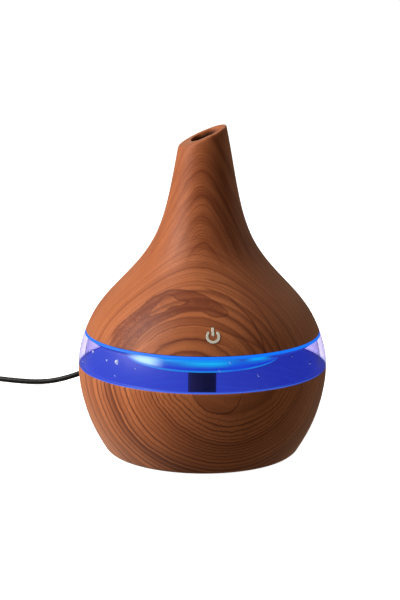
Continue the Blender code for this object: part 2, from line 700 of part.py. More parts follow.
def make_jack():
    """Supply jack with its centre pin, on a small board that stands on the lamp pan."""
    width, length, height = JACK_SIZE
    back = JACK_FRONT - length
    jack = box("dc_jack", JACK_SIZE, (0.0, JACK_FRONT - length / 2, JACK_HEIGHT), BLACK_PLASTIC)
    bore_ends = (0, back + 1.0, JACK_HEIGHT), (0, JACK_FRONT + 2.0, JACK_HEIGHT)
    cut(jack, rod("jack_bore", 2.1, *bore_ends, place=TOOLS))
    pin_ends = (0, back + 1.4, JACK_HEIGHT), (0, JACK_FRONT - 0.6, JACK_HEIGHT)
    rod("jack_pin", 0.5, *pin_ends, BRASS, SCREW_EDGES)
    board = (11.0, 12.0, 1.2)
    board_top = JACK_HEIGHT - height / 2 - GAP
    box("jack_board", board, (0.0, JACK_FRONT - 6.2, board_top - board[2] / 2), BOARD_GREEN)


def make_plug():
    """Barrel plug in the jack, with its moulded body and ribbed strain relief."""
    barrel_start = JACK_FRONT - 7.5
    barrel_length = PLUG_START - GAP - barrel_start
    barrel = turned("plug_barrel", tube_profile(1.75, 0.85, barrel_length, 0.0), STEEL, SMALL_EDGES)
    along_y(barrel, barrel_start)
    length = RELIEF_START - GAP - PLUG_START
    grip = 4.2
    body = [(0.0, length), (grip - 1.0, length), (grip - 0.3, length - 1.2), (grip, length - 4.0),
            (grip, 1.0), (grip - 0.6, 0.0), (0.0, 0.0)]
    along_y(turned("plug_body", body, BLACK_PLASTIC, SMALL_EDGES), PLUG_START)
    reach = RELIEF_END - RELIEF_START
    ribs = 4
    groove_depth, rib_width = 0.45, 1.5
    relief = [(0.0, reach), (LEAD_RADIUS + 0.5, reach)]
    for k in range(ribs):
        high = reach - (k + 0.4) * reach / ribs
        radius = LEAD_RADIUS + 0.6 + 1.1 * (k + 1) / ribs
        relief += [(radius, high), (radius, high - rib_width)]
        relief += [(radius - groove_depth, high - rib_width - 0.2)]
    relief += [(grip - 1.2, 0.0), (0.0, 0.0)]
    along_y(turned("plug_relief", relief, BLACK_PLASTIC, SMALL_EDGES), RELIEF_START)


def make_lead():
    """The lead's free run, its coil, and the tail to the supply plug."""
    spacing = 5.0 * LEAD_RADIUS
    wire("lead_run", smooth_path(LEAD_ROUTE, spacing), LEAD_RADIUS, BLACK_CABLE)
    wire("lead_tail", smooth_path(TAIL_ROUTE, spacing), LEAD_RADIUS, BLACK_CABLE)
    ring = tube_profile(COIL_OUTER + LEAD_RADIUS, COIL_INNER - LEAD_RADIUS, COIL_HEIGHT, 0.0)
    placed(turned("lead_coil", ring, BLACK_CABLE, 32), *COIL_CENTRE)


def make_coil_tie():
    """A strap that goes round the coil's turns on its far side."""
    inner = COIL_INNER - 2 * (LEAD_RADIUS + GAP)
    outer = COIL_OUTER + LEAD_RADIUS + GAP
    strap = 0.8
    width = 5.0
    top = COIL_HEIGHT + GAP + strap
    x, y = COIL_CENTRE
    middle = y + (inner + outer) / 2
    tie = box("coil_tie", (width, outer - inner + 2 * strap, top), (x, middle, top / 2), BLACK_STRAP, 0.3)
    cut(tie, box("tie_hollow", (2 * width, outer - inner, 2 * (top - strap)), (x, middle, 0.0), place=TOOLS))


def make_usb_plug():
    """Supply plug on the lead's far end, lying flat: relief, moulded body, metal shell and its tongue."""
    lift = USB_BODY[2] / 2
    wide = 3.0
    relief = [(0.0, USB_RELIEF), (wide, USB_RELIEF), (LEAD_RADIUS + 0.6, 0.0), (0.0, 0.0)]
    cone = turned("usb_relief", relief, BLACK_PLASTIC, SMALL_EDGES)
    placed(cone, USB_X, USB_START, wide + 0.05, Matrix.Rotation(-math.pi / 2, 3, "X"))
    body_start = USB_START + USB_RELIEF + GAP
    body_length = USB_BODY[1]
    centre = (USB_X, body_start + body_length / 2, lift)
    box("usb_body", USB_BODY, centre, BLACK_PLASTIC, 1.2, rounding_steps=3)
    shell_start = body_start + body_length + GAP
    width, length, height = USB_SHELL
    centre = shell_start + length / 2
    shell = box("usb_shell", USB_SHELL, (USB_X, centre, lift), STEEL)
    mouth = (width - 2 * USB_WALL, length, height - 2 * USB_WALL)
    cut(shell, box("usb_mouth", mouth, (USB_X, centre + 1.0, lift), place=TOOLS))
    tongue = (10.4, 13.0, 1.4)
    tongue_start = shell_start + 1.4
    box("usb_tongue", tongue, (USB_X, tongue_start + tongue[1] / 2, lift - tongue[2] / 2), WHITE_PLASTIC)


clear_scene()
MODEL = collection("cool_mist_humidifier")
TOOLS = collection("tools")
TOOLS.hide_render = True

WOOD_LOOK = material("wood_look", (0.27, 0.11, 0.05), 0.42)
WHITE_PLASTIC = material("white_plastic", (0.82, 0.82, 0.8), 0.45)
CLEAR_PLASTIC = material("clear_plastic", (0.8, 0.82, 1.0), 0.05, transmission=1.0)
LAMP_PLASTIC = material("lamp_plastic", (0.6, 0.75, 1.0), 0.4, emission=(0.05, 0.25, 1.0))
BROWN_PLASTIC = material("brown_plastic", (0.12, 0.06, 0.035), 0.5)
DARK_PLASTIC = material("dark_plastic", (0.03, 0.025, 0.03), 0.4)
BLACK_PLASTIC = material("black_plastic", (0.012, 0.012, 0.013), 0.35)
BLACK_CABLE = material("black_cable", (0.01, 0.01, 0.011), 0.3)
BLACK_STRAP = material("black_strap", (0.02, 0.02, 0.02), 0.8)
RUBBER = material("rubber", (0.05, 0.05, 0.05), 0.8)
SILICONE = material("silicone", (0.75, 0.78, 0.82), 0.5)
SYMBOL_WHITE = material("symbol_white", (0.75, 0.7, 0.62), 0.4)
STEEL = material("steel", (0.6, 0.6, 0.62), 0.25, 1.0)
BRASS = material("brass", (0.75, 0.55, 0.25), 0.25, 1.0)
COPPER = material("copper", (0.8, 0.4, 0.25), 0.3, 1.0)
CERAMIC = material("ceramic", (0.85, 0.82, 0.75), 0.5)
COTTON = material("cotton", (0.85, 0.84, 0.8), 0.9)
BOARD_GREEN = material("board_green", (0.02, 0.16, 0.06), 0.4)
LED_WHITE = material("led_white", (0.85, 0.9, 1.0), 0.4, emission=(0.2, 0.5, 1.0))
FERRITE = material("ferrite", (0.06, 0.06, 0.065), 0.6)
DARK_SLEEVE = material("dark_sleeve", (0.03, 0.03, 0.06), 0.35)
LEAD_RED = material("lead_red", (0.5, 0.02, 0.02), 0.4)
LEAD_BLACK = material("lead_black", (0.02, 0.02, 0.02), 0.4)

make_lower_shell()
make_tank_liner()
make_window()
make_base()
make_upper_shell()
make_lamp_pan()
make_board()
make_column()
make_atomiser()
make_wick()
make_touch_sensor()
make_disc_leads()
make_jack()
make_plug()
make_lead()
make_coil_tie()
make_usb_plug()
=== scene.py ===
"""Looks of the cool mist humidifier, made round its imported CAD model.

Lengths are in millimetres and the helpers scale them to metres, in the CAD's own frame: +Z is up, the power
symbol faces -Y, and the spout rises towards +X. Head pieces ride on the body "head" and the rest on "tank".
"""
import functools
from math import cos, hypot, pi, radians, sin, tan, tau

import bmesh
import bpy
import numpy as np
from mathutils import Matrix, Vector


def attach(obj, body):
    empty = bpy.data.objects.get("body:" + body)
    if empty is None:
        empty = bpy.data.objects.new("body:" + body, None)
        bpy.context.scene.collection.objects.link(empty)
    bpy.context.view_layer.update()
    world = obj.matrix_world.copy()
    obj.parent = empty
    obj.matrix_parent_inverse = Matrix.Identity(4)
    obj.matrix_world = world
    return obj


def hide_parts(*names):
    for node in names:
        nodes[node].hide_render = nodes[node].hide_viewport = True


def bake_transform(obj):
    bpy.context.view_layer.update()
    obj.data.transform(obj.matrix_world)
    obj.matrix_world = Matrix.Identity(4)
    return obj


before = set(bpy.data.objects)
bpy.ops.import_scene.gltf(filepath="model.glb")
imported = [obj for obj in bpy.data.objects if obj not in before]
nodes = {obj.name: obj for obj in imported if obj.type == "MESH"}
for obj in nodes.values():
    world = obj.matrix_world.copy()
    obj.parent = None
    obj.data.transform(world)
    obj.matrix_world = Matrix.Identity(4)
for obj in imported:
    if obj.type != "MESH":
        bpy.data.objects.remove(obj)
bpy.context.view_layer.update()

MM = 0.001
STEPS = 160
UPRIGHT = Matrix.Identity(3)

# The outer surface's heights and radii, as in the CAD.
OUTLINE = (
    (0, 40.6), (6, 44.2), (13, 47.7), (21, 50.5), (29, 52.3), (37.9, 53), (45, 52.2),
    (52.4, 49.9), (60, 46.3), (68, 40.4), (76, 32.9), (84, 26), (92, 20.9), (100, 17.6),
    (110, 14.9), (120, 12.9), (131, 10.9), (142, 8.7),
)
FOOT_HEIGHT = 0.6
BASE_OPENING = 37
BASE_TOP = 2.6
SHELL_WALL = 2.2
SHELL_TOP = 37.7
LINER_INSET = 2.5
LINER_WALL = 1.3
LINER_TOP = 36
LINER_FLOOR = 8.5
WINDOW = (37.9, 50.9)
WINDOW_WALL = 2.4
FLANGE = (51.2, 52.15)
HEAD_BOTTOM = 52.3
HEAD_WALL = 2.4
NECK_CEILING = 116
MOUTH_HEIGHT = 135.8
MOUTH_SLOPE = tan(radians(24.4))
MOUTH_LEAN = tan(radians(2.5)) / cos(radians(24.4))
BORE_X = (-5.5, 6.8)
BORE_HALF_WIDTH = 6.3
BORE_CORNER = 5
SYMBOL_HEIGHT = 59.9
SYMBOL_RADIUS = 2.38
SYMBOL_STROKE = 1.1
SYMBOL_GAP = radians(38)
SYMBOL_BAR = (0.1, 3.8)
SYMBOL_PROUD = 0.12
JACK_HEIGHT = 57.2
JACK_HOLE = 3.2
PAN_SCREW_HOLE = 1.6
PAN_SCREW_REACH = 41.5
BASE_SCREW_WELL = 2.9
BASE_SCREW_REACH = 20
PLUG_START = 50.2
RELIEF_START = 66.3
RELIEF_END = 81

# The lead, as in the CAD: its run to the coil, the coil's turns, and the tail to the supply plug.
LEAD_RADIUS = 1.3
COIL_CENTRE = (-115, 142.3)
COIL_INNER = 9.8
COIL_OUTER = 20.2
LEAD_ROUTE = (
    (0, 80.6, 57.2), (0, 88, 57), (-1.5, 95, 54), (-5, 101, 47.5), (-11, 104, 38),
    (-20, 105, 27.5), (-31, 103.5, 17.5), (-42, 102.5, 11), (-53, 103.1, 6.3),
    (-62.8, 106, 3), (-71.5, 109, 1.6), (-80.4, 112.2, 1.35), (-89, 116.2, 1.35),
    (-98, 120.2, 1.35), (-103.5, 121.9, 1.35),
)
TAIL_ROUTE = (
    (-127.4, 122.5, 3.6), (-134.2, 123.8, 2.5), (-140, 127.5, 1.6), (-143.5, 133.6, 1.35),
    (-144.5, 141.6, 1.9),
)
USB_X = -144.5
USB_START = 141
USB_RELIEF = 9
USB_BODY = (15.6, 21, 7.6)
USB_SHELL = (12, 17, 4.5)

# The height of a water bead, in its radii.
BEAD_HEIGHT = 0.62


# Camera.

def make_camera():
    """Camera at the viewing angle: 12 degrees down, turned 5 degrees towards the left."""
    azimuth, pitch, roll = radians(-5.1), radians(12), radians(0.5)
    right = Vector((cos(azimuth), sin(azimuth), 0))
    ahead = Vector((-sin(azimuth), cos(azimuth), 0))
    up = Vector((0, 0, 1))
    forward = ahead * cos(pitch) - up * sin(pitch)
    above = ahead * sin(pitch) + up * cos(pitch)
    x_axis = right * cos(roll) + above * sin(roll)
    y_axis = above * cos(roll) - right * sin(roll)
    turn = Matrix((x_axis, y_axis, -forward)).transposed().to_4x4()
    data = bpy.data.cameras.new("camera")
    data.sensor_width = 36
    data.lens = 103.98
    data.clip_start = 0.02
    data.clip_end = 60
    camera = add_object("camera", data)
    distance, aside, height = 722, -1.25, 218.5
    place = ahead * -distance + right * aside + up * height
    camera.matrix_world = Matrix.Translation(place * MM) @ turn
    bpy.context.scene.camera = camera


# Mesh helpers.

def polar(radius, angle, *height):
    """The point at a radius and an angle round the axis, with its height if one is given."""
    return radius * cos(angle), radius * sin(angle), *height


def circle(radius, count):
    return [polar(radius, tau * k / count) for k in range(count)]


def bridge(low, high, count):
    """Faces between two closed rows of vertices, by the numbers of their first ones."""
    return [(low + k, low + (k + 1) % count, high + (k + 1) % count, high + k) for k in range(count)]


def revolved(count, steps, gap=0):
    """Faces of a turned shape: its columns of vertices joined all round, open by gap faces at their ends."""
    return [face for k in range(steps)
            for face in bridge(k * count, (k + 1) % steps * count, count)[:count - gap]]


def stacked(count, rows, shut=True):
    """Faces of a tube of closed rows of vertices, with its two end faces."""
    faces = [face for row in range(1, rows) for face in bridge((row - 1) * count, row * count, count)]
    ends = [tuple(range(count))[::-1], tuple(range((rows - 1) * count, rows * count))]
    return faces + (ends if shut else ends[:1])


def outline_spline(points):
    """Heights, radii and second derivatives of the natural cubic spline through the points."""
    z = np.array([p[0] for p in points])
    r = np.array([p[1] for p in points])
    step = np.diff(z)
    matrix = np.eye(len(z))
    right = np.zeros(len(z))
    for i in range(1, len(z) - 1):
        matrix[i, i - 1:i + 2] = (step[i - 1], 2 * (step[i - 1] + step[i]), step[i])
        right[i] = 6 * ((r[i + 1] - r[i]) / step[i] - (r[i] - r[i - 1]) / step[i - 1])
    return z, r, np.linalg.solve(matrix, right)


SPLINE = outline_spline(OUTLINE)


def radius_at(height):
    """Radius of the outer surface at a height."""
    z, r, bend = SPLINE
    i = int(np.clip(np.searchsorted(z, height) - 1, 0, len(z) - 2))
    step = z[i + 1] - z[i]
    a = (z[i + 1] - height) / step
    b = 1 - a
    bent = (a ** 3 - a) * bend[i] + (b ** 3 - b) * bend[i + 1]
    return float(a * r[i] + b * r[i + 1] + bent * step ** 2 / 6)


def surface(start, end, inset, count):
    """Profile points (radius, height) along the outer surface, inset from it."""
    return [(radius_at(h) - inset, float(h)) for h in np.linspace(start, end, count)]


def soften(points, radius, closed=True, steps=3):
    """Rounds the corners of a polyline by about the radius, and leaves its gentle bends alone."""
    points = [Vector(p) for p in points]
    count = len(points)
    rounded = []
    for i, corner in enumerate(points):
        before, after = points[i - 1], points[(i + 1) % count]
        ends = not closed and i in (0, count - 1)
        into, out = corner - before, after - corner
        if ends or into.length < 1e-6 or out.length < 1e-6 or into.angle(out) < radians(14):
            rounded.append(corner)
            continue
        start = corner - into.normalized() * min(radius, 0.42 * into.length)
        end = corner + out.normalized() * min(radius, 0.42 * out.length)
        for k in range(steps + 1):
            t = k / steps
            rounded.append(start * (1 - t) ** 2 + corner * (2 * t * (1 - t)) + end * t ** 2)
    return [tuple(p) for p in rounded]


def add_object(name, data):
    obj = bpy.data.objects.new(name, data)
    bpy.context.scene.collection.objects.link(obj)
    return obj


def new_object(name, vertices, faces):
    """A mesh object from vertices in millimetres, with its faces turned outwards."""
    mesh = bpy.data.meshes.new(name)
    mesh.from_pydata([tuple(c * MM for c in v) for v in vertices], [], faces)
    mesh.validate()
    tidy = bmesh.new()
    tidy.from_mesh(mesh)
    bmesh.ops.remove_doubles(tidy, verts=tidy.verts, dist=1e-7)
    bmesh.ops.recalc_face_normals(tidy, faces=tidy.faces)
    tidy.to_mesh(mesh)
    tidy.free()
    return add_object(name, mesh)


def piece(name, vertices, faces, body, materials, sharp=32):
    """A new smooth-shaded piece on a body, all in its first material."""
    obj = new_object(name, vertices, faces)
    mesh = obj.data
    mesh.shade_smooth()
    mesh.set_sharp_from_angle(angle=radians(sharp))
    materials = materials if isinstance(materials, list) else [materials]
    for finish in materials:
        mesh.materials.append(finish)
    if body:
        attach(obj, body)
    return obj


def turned(name, profile, body, material, steps=STEPS, soft=0, turn=UPRIGHT, centre=(0, 0, 0), slot=None):
    """A turned piece. The profile is (radius, height), closed on itself, or on the axis at both ends."""
    on_axis = profile[0][0] < 1e-6 and profile[-1][0] < 1e-6
    profile = soften(profile, soft, closed=not on_axis) if soft else profile
    points = [Vector(polar(r, tau * k / steps, z)) for k in range(steps) for r, z in profile]
    vertices = [tuple(turn @ point + Vector(centre)) for point in points]
    return piece(name, vertices, revolved(len(profile), steps, on_axis), body, material)


def tube(name, points, radius, sides, body, material):
    """A round tube along a line of points, with frames carried along without twist."""
    line = [Vector(p) for p in points]
    count = len(line)
    tangents = [(line[min(i + 1, count - 1)] - line[max(i - 1, 0)]).normalized() for i in range(count)]
    side = tangents[0].orthogonal().normalized()
    vertices = []
    for point, tangent in zip(line, tangents):
        side = (side - tangent * side.dot(tangent)).normalized()
        other = tangent.cross(side)
        vertices += [tuple(point + side * x + other * y) for x, y in circle(radius, sides)]
    return piece(name, vertices, stacked(sides, count), body, material, 50)


def prism(outline, depth, turn, centre):
    """Vertices and faces of a plate: its outline in its own XY, from -depth / 2 to depth / 2."""
    points = [Vector((x, y, z)) for z in (-depth / 2, depth / 2) for x, y in outline]
    vertices = [tuple(turn @ point + Vector(centre)) for point in points]
    return vertices, stacked(len(outline), 2)


def cut(obj, outline, depth, turn, centre):
    """Cuts a prism out of a piece's mesh."""
    tool = new_object("tool", *prism(outline, depth, turn, centre))
    step = obj.modifiers.new("cut", "BOOLEAN")
    step.object = tool
    step.solver = "EXACT"
    graph = bpy.context.evaluated_depsgraph_get()
    result = bpy.data.meshes.new_from_object(obj.evaluated_get(graph))
    obj.modifiers.clear()
    old = obj.data
    obj.data = result
    result.name = old.name
    bpy.data.meshes.remove(old)
    bpy.data.meshes.remove(tool.data)


def smooth_path(route, spacing):
    """Points at even spacing on a smooth curve through a route."""
    points = [Vector(p) for p in route]
    points = [points[0] * 2 - points[1]] + points + [points[-1] * 2 - points[-2]]
    fine = []
    for a, b, c, d in zip(points, points[1:], points[2:], points[3:]):
        for k in range(16):
            t = k / 16
            fine.append(0.5 * (2 * b + (c - a) * t + (2 * a - 5 * b + 4 * c - d) * t ** 2
                    + (3 * b - a - 3 * c + d) * t ** 3))
    fine.append(points[-2])
    along = np.concatenate([[0], np.cumsum([(q - p).length for p, q in zip(fine, fine[1:])])])
    marks = np.linspace(0, along[-1], max(2, round(along[-1] / spacing) + 1))
    array = np.array([tuple(p) for p in fine])
    return [tuple(float(np.interp(m, along, array[:, axis])) for axis in range(3)) for m in marks]


# Material helpers.

def shaded(colour, factor):
    return tuple(c * factor for c in colour)


class Graph:
    """Builds a material's nodes. A value may be a number, a colour, a vector or another node's output."""

    def __init__(self, name):
        self.material = bpy.data.materials.new(name)
        self.material.use_nodes = True
        self.tree = self.material.node_tree
        self.tree.nodes.clear()
        place = self.node("TexCoord").outputs["Object"]
        self.place = self.node("VectorMath", {0: place, "Scale": 1 / MM}, operation="SCALE").outputs[0]
        split = self.node("SeparateXYZ", {0: self.place})
        self.x, self.y, self.z = split.outputs

    def node(self, kind, inputs=None, **settings):
        made = self.tree.nodes.new("ShaderNode" + kind)
        for key, value in settings.items():
            setattr(made, key, value)
        for key, value in (inputs or {}).items():
            self.put(made.inputs[key], value)
        return made

    def put(self, socket, value):
        if isinstance(value, bpy.types.NodeSocket):
            self.tree.links.new(value, socket)
        elif socket.type == "RGBA":
            socket.default_value = (*value, 1)
        else:
            socket.default_value = value

    def math(self, operation, a, b=0, c=0, clamp=False):
        return self.node("Math", {0: a, 1: b, 2: c}, operation=operation, use_clamp=clamp).outputs[0]

    def add(self, *values):
        return functools.reduce(lambda a, b: self.math("ADD", a, b), values)

    def times(self, *values):
        return functools.reduce(lambda a, b: self.math("MULTIPLY", a, b), values)

    def minus(self, a, b):
        return self.math("SUBTRACT", a, b)

    def scaled(self, value, factor, more, clamp=False):
        return self.math("MULTIPLY_ADD", value, factor, more, clamp)

    def away(self, value, place):
        """How far a value is from a place, either way."""
        return self.math("ABSOLUTE", self.add(value, -place))

    def reach(self, a, b):
        """Length of the slant with legs a and b."""
        return self.math("SQRT", self.add(self.times(a, a), self.times(b, b)))

    def step(self, value, low, high, start=0, end=1, linear=False):
        inputs = {0: value, 1: low, 2: high, 3: start, 4: end}
        kind = "LINEAR" if linear else "SMOOTHSTEP"
        return self.node("MapRange", inputs, interpolation_type=kind).outputs[0]

    def fall(self, value, low, high):
        return self.step(value, low, high, 1, 0)

    def noise(self, scale, detail=2, roughness=0.5, distortion=0):
        """Noise over the position in millimetres, with one scale or a scale for each axis."""
        scale = scale if isinstance(scale, tuple) else (scale, scale, scale)
        place = self.node("VectorMath", {0: self.place, 1: scale}, operation="MULTIPLY").outputs[0]
        shape = {"Scale": 1, "Detail": detail, "Roughness": roughness, "Distortion": distortion}
        return self.node("TexNoise", {"Vector": place, **shape}).outputs[0]

    def wave(self, size, amount, detail=1):
        """Noise about zero, with features of a size in millimetres."""
        return self.scaled(self.noise(1 / size, detail), 2 * amount, -amount)

    def curve(self, value, points):
        """A smooth curve through a few points, as (value in, value out)."""
        low, high = points[0][0], points[-1][0]
        least, most = min(p[1] for p in points), max(p[1] for p in points)
        made = self.node("FloatCurve", {1: self.step(value, low, high, linear=True)})
        line = made.mapping.curves[0]
        while len(line.points) < len(points):
            line.points.new(0.5, 0.5)
        for knot, (x, y) in zip(line.points, points):
            knot.location = ((x - low) / (high - low), (y - least) / (most - least))
        made.mapping.update()
        return self.scaled(made.outputs[0], most - least, least)

    def random(self, value, seed):
        made = self.node("TexWhiteNoise", {"W": self.add(value, seed)}, noise_dimensions="1D")
        return made.outputs[0]

    def mix(self, factor, a, b):
        return self.node("Mix", {0: factor, 6: a, 7: b}, data_type="RGBA").outputs[2]

    def bump(self, height, distance):
        inputs = {"Height": height, "Distance": distance * MM, "Strength": 1}
        return self.node("Bump", inputs).outputs[0]

    def finish(self, shader):
        """The material, with a shader at its output."""
        self.node("OutputMaterial", {0: shader})
        return self.material

    def principled(self, **inputs):
        inputs = {key.replace("_", " "): value for key, value in inputs.items()}
        return self.finish(self.node("BsdfPrincipled", inputs).outputs[0])


# Colours of the wood film, from its ground to its darkest marks, and last the painted shade deep in the spout
# passage.
GROUND_TONES = ((0.395, 0.114, 0.036), (0.475, 0.150, 0.053))
FIBRE_TONE = (0.27, 0.072, 0.022)
BAND_TONE = (0.23, 0.056, 0.017)
ARCH_TONE = (0.175, 0.036, 0.009)
PORE_TONE = (0.15, 0.035, 0.012)
LEAF_TONE = (0.15, 0.031, 0.011)
SHADE_TONE = (0.13, 0.027, 0.010)
LINE_TONE = (0.105, 0.02, 0.0075)
RING_TONE = (0.095, 0.017, 0.0065)
PASSAGE_SHADE_TONE = (0.022, 0.006, 0.003)


def wood(name, pith, lean, opening, index, features, seed, light, warps):
    """Turned wood-look film: growth rings round a pith, with each ring's own darkness, under a satin coat."""
    g = Graph(name)
    distance = g.reach(g.add(g.x, -pith[0]), g.add(g.y, -pith[1]))
    field = g.scaled(g.z, lean, distance)
    rise = g.math("MAXIMUM", g.add(g.z, -23), 0)
    field = g.scaled(g.times(rise, rise), opening, field)
    for size, amount in warps:
        field = g.add(field, g.wave(size, amount))
    count, crispness, strength = index(g, field)
    ring, part = g.math("FLOOR", count), g.math("FRACT", count)
    chance = g.random(ring, seed)
    gentle = g.math("POWER", g.step(part, 0.1, 0.86), 1.6)
    crisp = g.scaled(g.step(part, 0.52, 0.76), 0.75, g.times(g.math("POWER", part, 3), 0.25))
    rise = g.add(g.times(crisp, crispness), g.times(gentle, g.minus(1, crispness)))
    floor = g.scaled(crispness, 0.4, 0.2)
    weight = g.scaled(g.math("POWER", chance, 1.6), g.minus(1, floor), floor)
    dark = g.times(rise, g.fall(part, 0.90, 1), weight, strength)
    along = g.node("TexNoise", {"W": g.times(field, 0.4), "Scale": 1, "Detail": 4, "Roughness": 0.62},
            noise_dimensions="1D").outputs[0]
    fibre = g.noise((2.2, 2.2, 0.22), 3, 0.6)
    pores = g.step(g.noise((3.4, 3.4, 1.5), 2, 0.7), 0.6, 0.78)
    cloud = g.noise((0.05, 0.05, 0.022), 2)
    # light scales the ground tones: the tank's 1.2 is painted light, a brighter copy standing in for bounce
    # from the floor.
    early = g.mix(g.step(cloud, 0.3, 0.7), *(shaded(tone, light) for tone in GROUND_TONES))
    early = g.mix(g.step(along, 0.42, 0.7, 0, 0.62), early, BAND_TONE)
    early = g.mix(g.scaled(fibre, 1.3, -0.45, clamp=True), early, FIBRE_TONE)
    early = g.mix(g.times(pores, 0.45), early, PORE_TONE)
    colour = g.mix(g.times(dark, 0.95), early, RING_TONE)
    colour = features(g, field, colour)
    rough = g.scaled(fibre, 0.12, 0.38)
    relief = g.add(g.times(dark, -0.6), g.times(fibre, 0.5))
    return g.principled(Base_Color=colour, Roughness=rough, Specular_IOR_Level=0.15, Sheen_Weight=0.22,
            Sheen_Roughness=0.5, Sheen_Tint=(1, 0.82, 0.70), Normal=g.bump(relief, 0.03))


def ring_line(g, colour, away, width, strength):
    """A thin dark line where a distance is nought, drawn over a colour."""
    line = g.fall(g.math("ABSOLUTE", away), 0.25 * width, width)
    return g.mix(g.times(line, strength), colour, LINE_TONE)


def circle_away(g, centre, radius):
    """Distance in X and Z from a circle, with a slight waver."""
    reach = g.reach(g.add(g.x, -centre[0]), g.add(g.z, -centre[1]))
    return g.add(reach, -radius, g.wave(9, 0.9))


def head_rings(g, field):
    """Wide rings on the belly, fine ones on the shoulder and close ones on the neck and round the sides."""
    wide = g.times(g.add(field, -77), 0.29)
    fine = g.times(g.math("SMOOTH_MAX", g.add(field, -99.5), 0, 2), 0.7)
    count = g.add(wide, fine, g.times(g.math("SMOOTH_MAX", g.add(g.z, -92), 0, 4), 0.28))
    strength = g.times(g.step(field, 94, 99, 0.75, 0.54), g.step(g.z, 94, 106, 1, 0.35))
    return count, g.step(field, 96, 101, 0.35, 0), strength


def head_features(g, field, colour):
    """The neck's dark arches, painted shade deep in the passage, and on the belly the leaf, its tongue and
    arcs.
    """
    x, y, z, add, times, minus = g.x, g.y, g.z, g.add, g.times, g.minus
    scaled, step, fall, mix, wave = g.scaled, g.step, g.fall, g.mix, g.wave
    aside = add(x, 2.2)
    arch = g.math("SQRT", scaled(aside, times(aside, 5.3), 190))
    arch = add(arch, z, wave(8, 1.2, 2))
    beat = step(g.math("SINE", times(arch, 0.66)), -0.5, 1)
    lines = add(g.random(g.math("FLOOR", times(arch, 0.8)), 5), g.math("FRACT", times(arch, 0.8)))
    beat = scaled(step(lines, 0.95, 1.6), 0.95, times(beat, 0.75))
    height = times(step(z, 80, 92), step(z, 118, 132, 0.92, 0.55))
    side = add(x, wave(9, 3))
    shade = times(scaled(beat, 0.62, 0.24), step(side, -15, -4, 0.4, 1))
    colour = mix(times(shade, height, step(y, -8, 2, 0.95, 0.4)), colour, ARCH_TONE)
    # Painted shade inside the spout passage below its lip, weaker on the right wall where the light falls.
    reach = g.reach(x, y)
    mouth = scaled(x, MOUTH_SLOPE, scaled(y, MOUTH_LEAN, MOUTH_HEIGHT))
    below = minus(mouth, z)
    passage_shade = times(fall(reach, 7.9, 8.3), step(below, 0.3, 2.2))
    passage_shade = times(passage_shade, step(x, 3, 7.3, 0.95, 0.4))
    colour = mix(times(passage_shade, step(z, 114, 116)), colour, PASSAGE_SHADE_TONE)
    front = fall(y, -14, -9)
    upper = g.curve(x, ((-42, 52), (-38.6, 58.6), (-30.5, 66.2), (-19.6, 74.1), (-14.6, 75.7), (-7.4, 75.6),
            (0.1, 73), (7.2, 68)))
    lower = g.curve(x, ((-42, 40), (-34.5, 50.5), (-26.3, 60.3), (-14, 67.4), (-6, 68.9), (2.7, 67.1),
            (7.2, 67.8)))
    top = add(minus(upper, z), wave(3, 0.55, 2))
    bottom = add(minus(z, lower), wave(5, 0.6, 2))
    ends = times(front, fall(x, 6.4, 7.2), step(x, -42, -38))
    inside = times(step(top, 0, 0.3), step(bottom, 0, 0.4), ends)
    swirl = g.noise((0.11, 0.11, 0.14), 2, 0.5, 1.4)
    threads = step(g.math("SINE", times(swirl, 120)), 0, 0.95)
    left = fall(x, -31, -25)
    high = g.curve(x, ((-25.5, 65.6), (-21.3, 70.6), (-15.9, 73.9), (-13.6, 72.7), (-8.8, 72.2)))
    low = g.curve(x, ((-25.5, 65.4), (-20, 67.4), (-15.4, 69.8), (-11.6, 70.8), (-8.8, 72.1)))
    over = g.math("MINIMUM", minus(high, z), minus(z, low))
    over = g.math("MINIMUM", over, g.math("MINIMUM", add(x, 25.5), minus(-8.8, x)))
    over = add(over, wave(2.5, 0.35, 2))
    depth = scaled(step(swirl, 0.35, 0.62), 0.18, step(x, -31, -22, 0.8, 0.66))
    depth = scaled(times(threads, left), -0.5, depth)
    depth = scaled(step(over, 0, 0.4), -0.46, depth)
    fade = mix(step(x, -8, 0), (1, 1, 1), step(bottom, 0, 2.8, 0.45, 1))
    leaf = mix(times(inside, depth, fade), colour, LEAF_TONE)
    leaf = ring_line(g, leaf, over, 0.38, times(inside, 0.55))
    leaf = ring_line(g, leaf, top, 0.42, times(ends, 0.7))
    leaf = ring_line(g, leaf, bottom, 0.6, times(ends, 0.6))
    upper_arc = ((-30, 52), (-23.4, 58.6), (-16.6, 62.3), (-8.2, 64), (-0.6, 63.2), (6.2, 60.9), (17.1, 56),
            (22, 52))
    lower_arc = ((-26, 51.5), (-19, 56.5), (-12.2, 58.4), (-5.4, 58.8), (0.6, 57.9), (9, 53.5))
    for points in (upper_arc, lower_arc):
        (first, _), (second, _), (last_but_one, _), (last, _) = *points[:2], *points[-2:]
        away = add(minus(z, g.curve(x, points)), wave(4, 0.5, 2))
        here = times(front, step(x, first, second), fall(x, last_but_one, last))
        shade = times(step(away, -0.2, 0.1), fall(away, 0.1, 2.2))
        leaf = mix(times(shade, here, 0.38), leaf, LEAF_TONE)
        leaf = ring_line(g, leaf, away, 0.42, times(here, 0.5))
    right = times(front, step(x, -5, 2))
    leaf = ring_line(g, leaf, circle_away(g, (-9.5, 47), 31.2), 0.6, times(right, 0.6))
    return ring_line(g, leaf, circle_away(g, (-7, 45), 35.6), 0.5, times(right, 0.5))


def tank_rings(g, field):
    """Sparse rings on the flanks, and close crisp ones towards the front."""
    count = g.curve(field, ((60, 0), (70, 2), (75.4, 6), (79.6, 10), (81.8, 14), (83.9, 19), (85.5, 22),
            (92, 27)))
    return count, 1, g.times(g.step(field, 84.4, 85, 1, 0.1), g.step(g.x, 8, 32, 1, 0.75))


